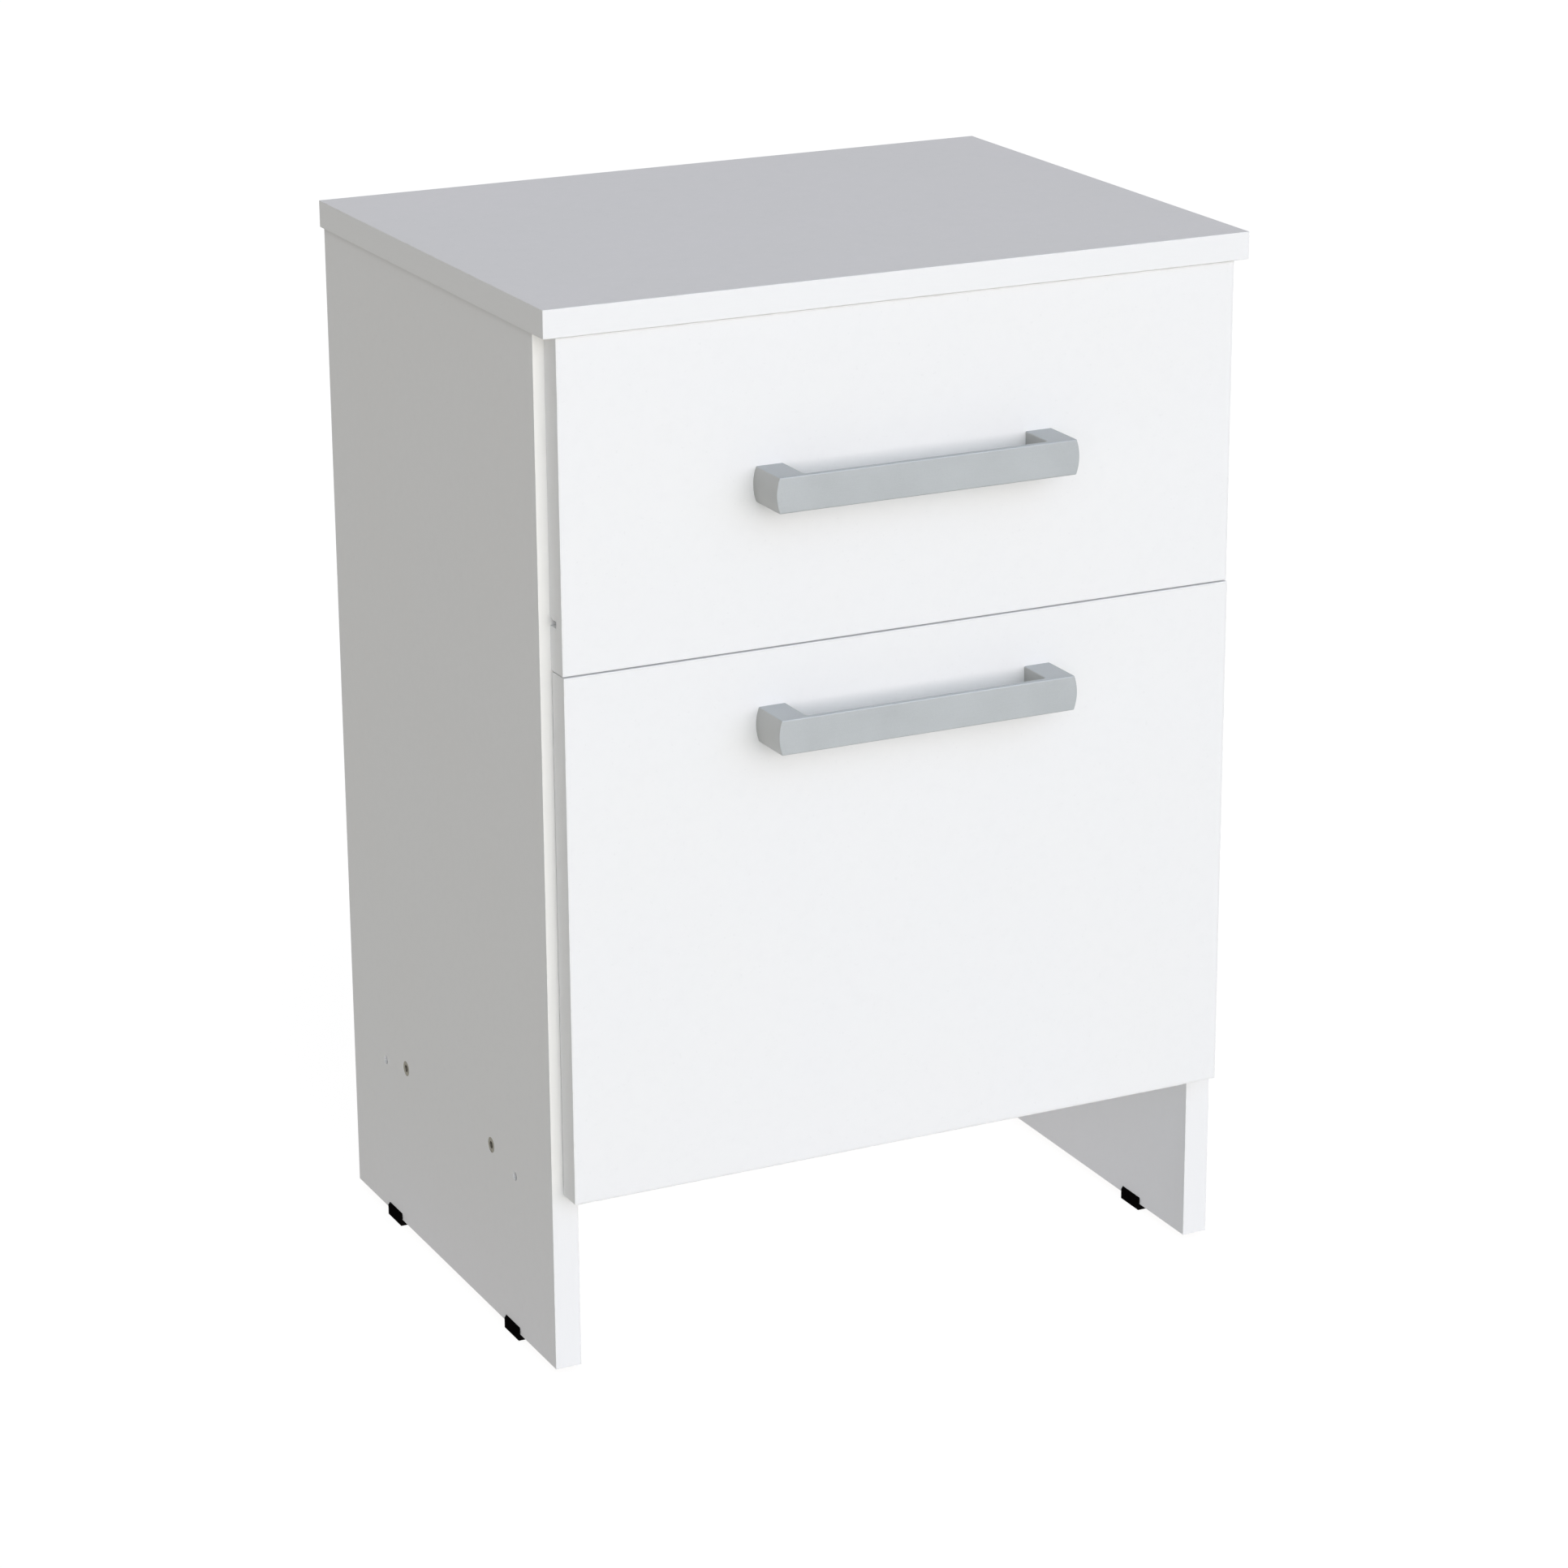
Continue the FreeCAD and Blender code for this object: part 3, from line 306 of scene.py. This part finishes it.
    c_col, c_height, c_rough = chipboard(g, t, face_depth)
    g.set(Base_Color=g.colour(core, white, c_col), Roughness=g.value(core, rough, c_rough),
          Specular_IOR_Level=g.value(core, 0.42, 0.18), IOR=1.5)
    emboss = g.add(g.mul(pearl, 0.8), g.mul(pore, -0.35))
    emboss = g.mul(emboss, g.value(on_band, 1.0, 0.25))
    emboss = g.sub(emboss, g.mul(glue, 0.9))
    smooth_bump = g.bump(g.mul(emboss, g.inv(core)), 0.012 * MM, 1.0)
    g.set(Normal=g.bump(g.mul(c_height, core), 0.22 * MM, 1.0, smooth_bump))
    return g.mat


def hardboard(name, brown_dir, axis):
    """Thin fibreboard: lacquered white on one face, brown with the press screen's weave on the other, fibrous at its edges."""
    g = Graph(name)
    n = g.xyz(g.normal)[AXES[axis]]
    is_white = g.step(g.mul(n, -brown_dir), 0.55, 0.75)
    p = g.xyz(g.p)
    u, v = [p[i] for i in range(3) if i != AXES[axis]]
    pitch = 1.55 * MM
    wave_u = g.math("SINE", g.mul(g.add(u, g.mul(g.noise(g.p, 30 * MM, 2.0), 0.9 * MM)), 2 * math.pi / pitch))
    wave_v = g.math("SINE", g.mul(g.add(v, g.mul(g.noise(g.shift(g.p, 1, 2, 3), 30 * MM, 2.0), 0.9 * MM)), 2 * math.pi / pitch))
    weave = g.mul(g.add(g.mul(wave_u, wave_v), 1.0), 0.5)
    fibre = g.noise(g.p, 1.6 * MM, 6.0, 0.72, 1.4)
    cloud = g.noise(g.p, 55 * MM, 4.0, 0.6)
    speck = g.step(g.noise(g.shift(g.p, 5, 1, 2), 2.6 * MM, 3.0, 0.6), 0.64, 0.72)
    tone = g.add(g.mul(fibre, 0.50), g.add(g.mul(weave, 0.16), g.mul(cloud, 0.34)))
    brown = g.ramp(tone, (0.25, (0.135, 0.070, 0.034)), (0.48, (0.235, 0.130, 0.066)), (0.66, (0.335, 0.200, 0.108)), (0.85, (0.43, 0.28, 0.165)))
    brown = g.colour(g.mul(speck, 0.5), brown, (0.09, 0.045, 0.022))
    lacquer = g.noise(g.p, 4.5 * MM, 3.0, 0.55)
    white = g.colour(g.mul(g.step(lacquer, 0.4, 0.7), 0.5), (0.80, 0.80, 0.785), (0.755, 0.755, 0.74))
    g.set(Base_Color=g.colour(is_white, brown, white), Roughness=g.value(is_white, g.remap(fibre, 0.3, 0.7, 0.66, 0.9), g.remap(lacquer, 0.3, 0.7, 0.33, 0.45)),
          Specular_IOR_Level=g.value(is_white, 0.25, 0.45))
    rough_side = g.add(g.mul(weave, 0.6), g.mul(fibre, 0.7))
    h = g.mul(rough_side, g.inv(is_white))
    a = g.bump(h, 0.20 * MM, 1.0)
    g.set(Normal=g.bump(g.mul(lacquer, is_white), 0.03 * MM, 1.0, a))
    return g.mat


def satin_silver(name, node, painted_light_gain=1.0):
    """Cast bar handle, silver lacquer over a brushed casting: long faint draw lines, small metallic flake, rubbed arrises."""
    g = Graph(name)
    lo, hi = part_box(node)
    p = g.xyz(g.p)
    grain = g.noise(g.stretch(g.p, 0.02, 1.0, 1.0), 0.22 * MM, 3.0, 0.6)
    flake = g.cells(g.p, 0.16 * MM)
    sparkle = g.xyz(flake["Color"])[0]
    cloud = g.noise(g.p, 22 * MM, 3.0, 0.55)
    # painted light: the gain lightens the silver colour, by a different amount on each handle
    col = g.ramp(g.add(g.mul(grain, 0.35), g.add(g.mul(sparkle, 0.25), g.mul(cloud, 0.40))),
                 *[(at, tuple(c * painted_light_gain for c in col)) for at, col in
                   ((0.2, (0.455, 0.480, 0.498)), (0.55, (0.515, 0.542, 0.560)), (0.9, (0.575, 0.602, 0.620)))])
    zc = (lo.z + hi.z) / 2
    arris = g.step(g.absolute(g.sub(p[2], zc)), (hi.z - lo.z) / 2 - 0.75 * MM, (hi.z - lo.z) / 2 - 0.1 * MM)
    arris = g.mul(arris, g.step(g.sub(p[1], lo.y), 0.9 * MM, 0.1 * MM, 0.0, 1.0))
    arris = g.mul(arris, g.step(g.noise(g.p, 9 * MM, 3.0, 0.6), 0.38, 0.62))
    col = g.colour(g.mul(arris, 0.10), col, (0.66, 0.68, 0.69))
    end = g.step(g.absolute(g.xyz(g.normal)[0]), 0.55, 0.85)      # the ends (the faces along x) are painted a touch darker and less blue: painted shade
    col = g.colour(g.mul(end, 0.9), col, tuple(c * painted_light_gain for c in (0.470, 0.472, 0.460)))
    top = g.step(g.xyz(g.normal)[2], 0.70, 0.90)                   # the up-facing tops are painted a touch darker: painted shade
    col = g.colour(g.mul(top, 0.085), col, (0.0, 0.0, 0.0))
    rough = g.add(g.remap(cloud, 0.3, 0.7, 0.44, 0.52), g.add(g.remap(grain, 0.3, 0.7, -0.04, 0.04), g.mul(arris, -0.04)))
    g.set(Base_Color=col, Metallic=0.55, Roughness=rough, Specular_IOR_Level=0.5)
    h = g.add(g.mul(grain, 0.8), g.mul(sparkle, 0.2))
    g.set(Normal=g.bump(h, 0.008 * MM, 1.0))
    return g.mat


def plated(name, base, rough=0.30, tint=(0.62, 0.60, 0.52), grime=(0.16, 0.14, 0.12), grime_amount=0.35):
    """Zinc or nickel plated steel: cloudy passivation, fine scratches, grime in patches."""
    g = Graph(name)
    cloud = g.noise(g.p, 5 * MM, 4.0, 0.6)
    spangle = g.xyz(g.cells(g.p, 1.4 * MM)["Color"])[1]
    scratch = g.noise(g.stretch(g.p, 0.12, 1.0, 1.0), 0.16 * MM, 3.0, 0.6)
    col = g.colour(g.mul(g.step(cloud, 0.38, 0.66), 0.40), base, tint)
    col = g.colour(g.mul(spangle, 0.14), col, tuple(min(1.0, c * 1.15) for c in base))
    dirt = g.step(g.noise(g.shift(g.p, 2, 5, 1), 3.2 * MM, 5.0, 0.65), 0.54, 0.70)
    col = g.colour(g.mul(dirt, grime_amount), col, grime)
    r = g.add(g.remap(cloud, 0.3, 0.7, rough - 0.05, rough + 0.08), g.add(g.remap(scratch, 0.3, 0.7, -0.04, 0.05), g.mul(dirt, 0.18)))
    g.set(Base_Color=col, Metallic=g.value(dirt, 1.0, 0.75), Roughness=r)
    g.set(Normal=g.bump(g.add(g.mul(scratch, 0.6), g.mul(cloud, 0.4)), 0.012 * MM, 1.0))
    return g.mat


def sheet_white(name):
    """White powder coat on thin sheet steel: orange peel, with steel showing through where rollers run."""
    g = Graph(name)
    peel = g.noise(g.p, 1.1 * MM, 2.0, 0.5)
    cloud = g.noise(g.p, 26 * MM, 3.0, 0.6)
    col = g.colour(g.mul(g.step(cloud, 0.35, 0.7), 0.4), (0.815, 0.815, 0.805), (0.775, 0.77, 0.75))
    streak = g.noise(g.stretch(g.p, 1.0, 0.03, 1.0), 0.6 * MM, 3.0, 0.6)
    n = g.xyz(g.normal)
    up = g.step(g.absolute(n[2]), 0.8, 0.95)
    worn = g.mul(up, g.step(streak, 0.56, 0.68))
    col = g.colour(g.mul(worn, 0.55), col, (0.42, 0.42, 0.41))
    g.set(Base_Color=col, Roughness=g.add(g.remap(peel, 0.3, 0.7, 0.30, 0.38), g.mul(worn, 0.12)), Metallic=g.mul(worn, 0.4))
    g.set(Normal=g.bump(g.add(g.mul(peel, 1.0), g.mul(worn, -0.2)), 0.03 * MM, 1.0))
    return g.mat


def black_plastic(name):
    """Injection-moulded polypropylene: eroded mould grain, scuffs near the floor, a little dust."""
    g = Graph(name)
    p = g.xyz(g.p)
    grain = g.cells(g.p, 0.28 * MM)["Distance"]
    cloud = g.noise(g.p, 4 * MM, 4.0, 0.6)
    scuff = g.noise(g.stretch(g.p, 1.0, 1.0, 0.2), 0.5 * MM, 3.0, 0.65)
    near_floor = g.step(p[2], 0.2 * MM, 3.0 * MM, 1.0, 0.0)
    worn = g.mul(near_floor, g.step(scuff, 0.50, 0.66))
    col = g.colour(g.mul(g.step(cloud, 0.4, 0.7), 0.6), (0.0032, 0.0027, 0.0027), (0.0056, 0.0048, 0.0048))
    col = g.colour(g.mul(worn, 0.22), col, (0.020, 0.0195, 0.019))
    g.set(Base_Color=col, Roughness=g.add(g.remap(cloud, 0.3, 0.7, 0.55, 0.68), g.mul(worn, 0.15)), Specular_IOR_Level=0.0)
    g.set(Normal=g.bump(g.add(g.mul(grain, 0.8), g.mul(worn, 0.4)), 0.02 * MM, 1.0))
    return g.mat


def nylon(name):
    g = Graph(name)
    cloud = g.noise(g.p, 3 * MM, 3.0, 0.6)
    turn = g.noise(g.p, 0.3 * MM, 2.0, 0.5)
    dirt = g.step(g.noise(g.shift(g.p, 4, 4, 4), 1.6 * MM, 4.0, 0.65), 0.56, 0.72)
    col = g.colour(g.mul(g.step(cloud, 0.35, 0.7), 0.5), (0.80, 0.795, 0.765), (0.74, 0.73, 0.695))
    col = g.colour(g.mul(dirt, 0.25), col, (0.42, 0.41, 0.39))
    g.set(Base_Color=col, Roughness=g.remap(cloud, 0.3, 0.7, 0.36, 0.48), Subsurface_Weight=0.12, Subsurface_Radius=(0.002, 0.002, 0.0018),
          Subsurface_Scale=0.4)
    g.set(Normal=g.bump(turn, 0.012 * MM, 1.0))
    return g.mat


def soft_clear(name):
    g = Graph(name)
    cloud = g.noise(g.p, 1.5 * MM, 3.0, 0.6)
    g.set(Base_Color=g.colour(cloud, (0.80, 0.80, 0.79), (0.72, 0.72, 0.70)), Roughness=g.remap(cloud, 0.3, 0.7, 0.28, 0.42),
          Transmission_Weight=0.35, IOR=1.45)
    g.set(Normal=g.bump(cloud, 0.02 * MM, 1.0))
    return g.mat


def beech(name, along):
    """Turned beech dowel: pale straight grain with short dark rays."""
    g = Graph(name)
    k = [1.0, 1.0, 1.0]
    k[AXES[along]] = 0.08
    grain = g.noise(g.stretch(g.p, *k), 0.6 * MM, 4.0, 0.65)
    ray = g.step(g.noise(g.stretch(g.shift(g.p, 1, 1, 1), *k), 0.25 * MM, 2.0, 0.5), 0.62, 0.70)
    col = g.ramp(grain, (0.25, (0.47, 0.30, 0.165)), (0.55, (0.60, 0.41, 0.245)), (0.8, (0.70, 0.52, 0.335)))
    col = g.colour(g.mul(ray, 0.6), col, (0.33, 0.19, 0.095))
    g.set(Base_Color=col, Roughness=g.remap(grain, 0.3, 0.7, 0.62, 0.78), Specular_IOR_Level=0.3)
    g.set(Normal=g.bump(grain, 0.06 * MM, 1.0))
    return g.mat


# ============================================================================================ materials on the CAD nodes
def paint(mat, *names):
    for n in names:
        o = NODES[n]
        o.data.materials.clear()
        o.data.materials.append(mat)


paint(board("melamine_top", "top_panel", "z", raw=("+y",)), "top_panel")
for side in ("left", "right"):
    # the open holes low in the outer face are lined white
    lo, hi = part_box(side + "_side_panel")
    holes = []
    for m in [m for m in frame["record"]["mounts"] if m["name"] == side + "_side_holes"]:
        c, gap = m["pos_m"], m["dims"]["spacing_x_mm"] * MM / 2
        for y in (c[1] - gap, c[1] + gap):
            holes.append(((c[0] - 13 * MM, y - 3.2 * MM, c[2] - 3.2 * MM), (c[0] + 13 * MM, y + 3.2 * MM, c[2] + 3.2 * MM)))
    paint(board("melamine_side_" + side, side + "_side_panel", "x", raw=("+y", "-z", "+z"), sealed=holes, upright=True), side + "_side_panel")
    paint(board("melamine_drawer_" + side, "drawer_%s_side" % side, "x", raw=("+y", "-y", "-z")), "drawer_%s_side" % side)
paint(board("melamine_bottom", "bottom_panel", "z", raw=("+y", "-x", "+x")), "bottom_panel")
paint(board("melamine_shelf", "middle_shelf", "z", raw=("+y", "-x", "+x")), "middle_shelf")
lo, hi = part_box("drawer_front")
base_lo, base_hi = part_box("drawer_bottom")
groove = ((lo.x - MM, lo.y + 2 * MM, base_lo.z - 1.2 * MM), (hi.x + MM, hi.y + MM, base_hi.z + 3.2 * MM))
paint(board("melamine_drawer_front", "drawer_front", "y", sealed=(groove,)), "drawer_front")
paint(board("melamine_door", "door_panel", "y"), "door_panel")
paint(board("melamine_drawer_back", "drawer_back", "y", raw=("-z", "-x", "+x")), "drawer_back")
paint(hardboard("hardboard_back", 1.0, "y"), "back_panel")
paint(hardboard("hardboard_drawer", -1.0, "z"), "drawer_bottom")
# painted light: the same silver is lightened by the gain, more on the door handle than on the drawer handle
paint(satin_silver("silver_drawer_handle", "drawer_handle", 1.02), "drawer_handle")
paint(satin_silver("silver_door_handle", "door_handle", 1.065), "door_handle")
feet = [n for n in NODES if n.endswith("_foot")]
paint(black_plastic("black_plastic"), *feet)
paint(nylon("white_nylon"), "front_rollers", "rear_rollers")
paint(soft_clear("clear_bumper"), "door_bumpers")
paint(sheet_white("white_sheet_steel"), "left_cabinet_rail", "right_cabinet_rail", "left_drawer_rail", "right_drawer_rail")
paint(plated("dull_zinc", (0.48, 0.455, 0.405), 0.45, (0.51, 0.48, 0.415), (0.20, 0.183, 0.158), 0.4), "confirmat_screws")
paint(plated("nickel", (0.60, 0.585, 0.56), 0.26, (0.55, 0.53, 0.49), (0.22, 0.20, 0.18), 0.2),
      *[n for n in NODES if n.startswith("hinge_") and not n.endswith("screws")])
paint(beech("beech_x", "x"), "shelf_dowels")
paint(beech("beech_y", "y"), "drawer_dowels")
paint(beech("beech_z", "z"), "top_dowels")
zinc = plated("bright_zinc", (0.56, 0.57, 0.58), 0.30, (0.50, 0.50, 0.46), (0.20, 0.19, 0.17), 0.3)
done = {"top_panel", "bottom_panel", "middle_shelf", "drawer_front", "door_panel", "drawer_back", "back_panel", "drawer_bottom",
        "left_side_panel", "right_side_panel", "drawer_left_side", "drawer_right_side", "drawer_handle", "door_handle",
        "front_rollers", "rear_rollers", "door_bumpers", "left_cabinet_rail", "right_cabinet_rail", "left_drawer_rail",
        "right_drawer_rail", "confirmat_screws", "shelf_dowels", "drawer_dowels", "top_dowels"} | set(feet)
paint(zinc, *[n for n in NODES if n not in done and not (n.startswith("hinge_") and not n.endswith("screws"))])

# ============================================================================================ studio
scene = bpy.context.scene
scene.view_settings.view_transform = "Standard"
scene.view_settings.look = "None"
scene.view_settings.exposure = 0.0
scene.view_settings.gamma = 1.0
scene.cycles.use_denoising = True
scene.cycles.max_bounces = 8
scene.cycles.diffuse_bounces = 5


# soft room light by direction: an even part, a broad source in front with a tighter one inside it, and weaker ones above,
# left, right and behind.
# Each is linear RGB radiance.
LIGHT_EVEN = (0.144, 0.000, 0.000)
LIGHT_FRONT = (1.040, 1.582, 2.313)
LIGHT_BEAM = (4.320, 3.537, 2.378)
LIGHT_ABOVE = (0.150, 0.332, 0.315)
LIGHT_LEFT = (0.000, 0.034, 0.000)
LIGHT_RIGHT = (0.199, 0.244, 0.299)
LIGHT_BACK = (0.455, 0.458, 0.477)
FLOOR_GLOW = (0.485, 0.498, 0.470)
FLOOR_UNDER = (0.051, 0.043, 0.080)

world = bpy.data.worlds.new("studio")
scene.world = world
world.use_nodes = True
wt = world.node_tree
wt.nodes.clear()


def w_math(op, a, b=0.0):
    n = wt.nodes.new("ShaderNodeMath")
    n.operation = op
    for s, v in zip(n.inputs, (a, b)):
        if isinstance(v, bpy.types.NodeSocket):
            wt.links.new(v, s)
        else:
            s.default_value = v
    return n.outputs[0]


def w_scaled(colour, amount):
    n = wt.nodes.new("ShaderNodeVectorMath")
    n.operation = "SCALE"
    n.inputs[0].default_value = colour
    if isinstance(amount, bpy.types.NodeSocket):
        wt.links.new(amount, n.inputs["Scale"])
    else:
        n.inputs["Scale"].default_value = amount
    return n.outputs[0]


def w_sum(vectors):
    out = vectors[0]
    for v in vectors[1:]:
        n = wt.nodes.new("ShaderNodeVectorMath")
        n.operation = "ADD"
        wt.links.new(out, n.inputs[0])
        wt.links.new(v, n.inputs[1])
        out = n.outputs[0]
    return out


w_dir = wt.nodes.new("ShaderNodeTexCoord")
w_sep = wt.nodes.new("ShaderNodeSeparateXYZ")
wt.links.new(w_dir.outputs["Generated"], w_sep.inputs[0])
dx, dy, dz = w_sep.outputs
to_front = w_math("POWER", w_math("MAXIMUM", w_math("MULTIPLY", dy, -1.0), 0.0), 3.0)
to_beam = w_math("POWER", w_math("MAXIMUM", w_math("MULTIPLY", dy, -1.0), 0.0), 8.0)
to_back = w_math("MAXIMUM", dy, 0.0)
to_left = w_math("MAXIMUM", w_math("MULTIPLY", dx, -1.0), 0.0)
to_right = w_math("MAXIMUM", dx, 0.0)
to_top = w_math("MAXIMUM", dz, 0.0)
light = w_sum([w_scaled(LIGHT_EVEN, 1.0), w_scaled(LIGHT_FRONT, to_front), w_scaled(LIGHT_BEAM, to_beam), w_scaled(LIGHT_ABOVE, to_top),
               w_scaled(LIGHT_LEFT, to_left), w_scaled(LIGHT_RIGHT, to_right), w_scaled(LIGHT_BACK, to_back)])
w_out = wt.nodes.new("ShaderNodeOutputWorld")
w_mix = wt.nodes.new("ShaderNodeMixShader")
w_cam = wt.nodes.new("ShaderNodeBackground")
w_amb = wt.nodes.new("ShaderNodeBackground")
w_path = wt.nodes.new("ShaderNodeLightPath")
w_cam.inputs["Color"].default_value = (1, 1, 1, 1)
w_cam.inputs["Strength"].default_value = 1.0
wt.links.new(light, w_amb.inputs["Color"])
w_amb.inputs["Strength"].default_value = 1.0
wt.links.new(w_path.outputs["Is Camera Ray"], w_mix.inputs[0])
wt.links.new(w_amb.outputs[0], w_mix.inputs[1])
wt.links.new(w_cam.outputs[0], w_mix.inputs[2])
wt.links.new(w_mix.outputs[0], w_out.inputs["Surface"])

# floor: a wide pale sheet, nearly burnt out to the camera, so that only a faint contact shadow shows
bm = bmesh.new()
bmesh.ops.create_grid(bm, x_segments=24, y_segments=24, size=30.0)
floor_mesh = bpy.data.meshes.new("studio_floor")
bm.to_mesh(floor_mesh)
bm.free()
floor = bpy.data.objects.new("studio_floor", floor_mesh)
scene.collection.objects.link(floor)
fm = bpy.data.materials.new("pale_floor")
fm.use_nodes = True
ft = fm.node_tree
ft.nodes.clear()
f_out = ft.nodes.new("ShaderNodeOutputMaterial")
f_mix = ft.nodes.new("ShaderNodeMixShader")
f_add = ft.nodes.new("ShaderNodeAddShader")
f_emit = ft.nodes.new("ShaderNodeEmission")
f_soft = ft.nodes.new("ShaderNodeBsdfDiffuse")
f_glow = ft.nodes.new("ShaderNodeEmission")
f_path = ft.nodes.new("ShaderNodeLightPath")
f_emit.inputs["Color"].default_value = (1, 1, 1, 1)
f_emit.inputs["Strength"].default_value = 0.93
f_soft.inputs["Color"].default_value = (0.16, 0.16, 0.16, 1)
# what the object sees of the floor: an even glow, brighter below the object
f_pos = ft.nodes.new("ShaderNodeTexCoord")
f_len = ft.nodes.new("ShaderNodeVectorMath")
f_len.operation = "LENGTH"
ft.links.new(f_pos.outputs["Object"], f_len.inputs[0])
f_map = ft.nodes.new("ShaderNodeMapRange")
f_map.interpolation_type = "SMOOTHSTEP"
f_map.inputs["From Min"].default_value = 0.12
f_map.inputs["From Max"].default_value = 0.42
f_map.inputs["To Min"].default_value = 1.0
f_map.inputs["To Max"].default_value = 0.0
ft.links.new(f_len.outputs["Value"], f_map.inputs["Value"])
f_scale = ft.nodes.new("ShaderNodeVectorMath")
f_scale.operation = "SCALE"
f_scale.inputs[0].default_value = FLOOR_UNDER
ft.links.new(f_map.outputs["Result"], f_scale.inputs["Scale"])
f_sum = ft.nodes.new("ShaderNodeVectorMath")
f_sum.operation = "ADD"
f_sum.inputs[0].default_value = FLOOR_GLOW
ft.links.new(f_scale.outputs[0], f_sum.inputs[1])
ft.links.new(f_sum.outputs[0], f_glow.inputs["Color"])
f_glow.inputs["Strength"].default_value = 1.0
ft.links.new(f_emit.outputs[0], f_add.inputs[0])
ft.links.new(f_soft.outputs[0], f_add.inputs[1])
ft.links.new(f_path.outputs["Is Camera Ray"], f_mix.inputs[0])
ft.links.new(f_glow.outputs[0], f_mix.inputs[1])
ft.links.new(f_add.outputs[0], f_mix.inputs[2])
ft.links.new(f_mix.outputs[0], f_out.inputs["Surface"])
floor_mesh.materials.append(fm)

# ============================================================================================ camera
cam_data = bpy.data.cameras.new("camera")
cam = bpy.data.objects.new("camera", cam_data)
scene.collection.objects.link(cam)
scene.camera = cam
FOCAL_PX, IMAGE_PX = 5752.736, 1932.0
yaw, pitch, roll = math.radians(26.05618), math.radians(18.49063), math.radians(-0.35555)
cam_data.sensor_width = 36.0
cam_data.lens = FOCAL_PX / IMAGE_PX * 36.0
cam_data.clip_start, cam_data.clip_end = 0.05, 100.0
ahead = Vector((math.sin(yaw) * math.cos(pitch), math.cos(yaw) * math.cos(pitch), -math.sin(pitch)))
right = Vector((math.cos(yaw), -math.sin(yaw), 0.0))
up = right.cross(ahead)
right, up = right * math.cos(roll) + up * math.sin(roll), up * math.cos(roll) - right * math.sin(roll)
place = Matrix((right, up, -ahead)).transposed().to_4x4()
place.translation = Vector((-1.098863, -2.240344, 1.103290))
cam.matrix_world = place
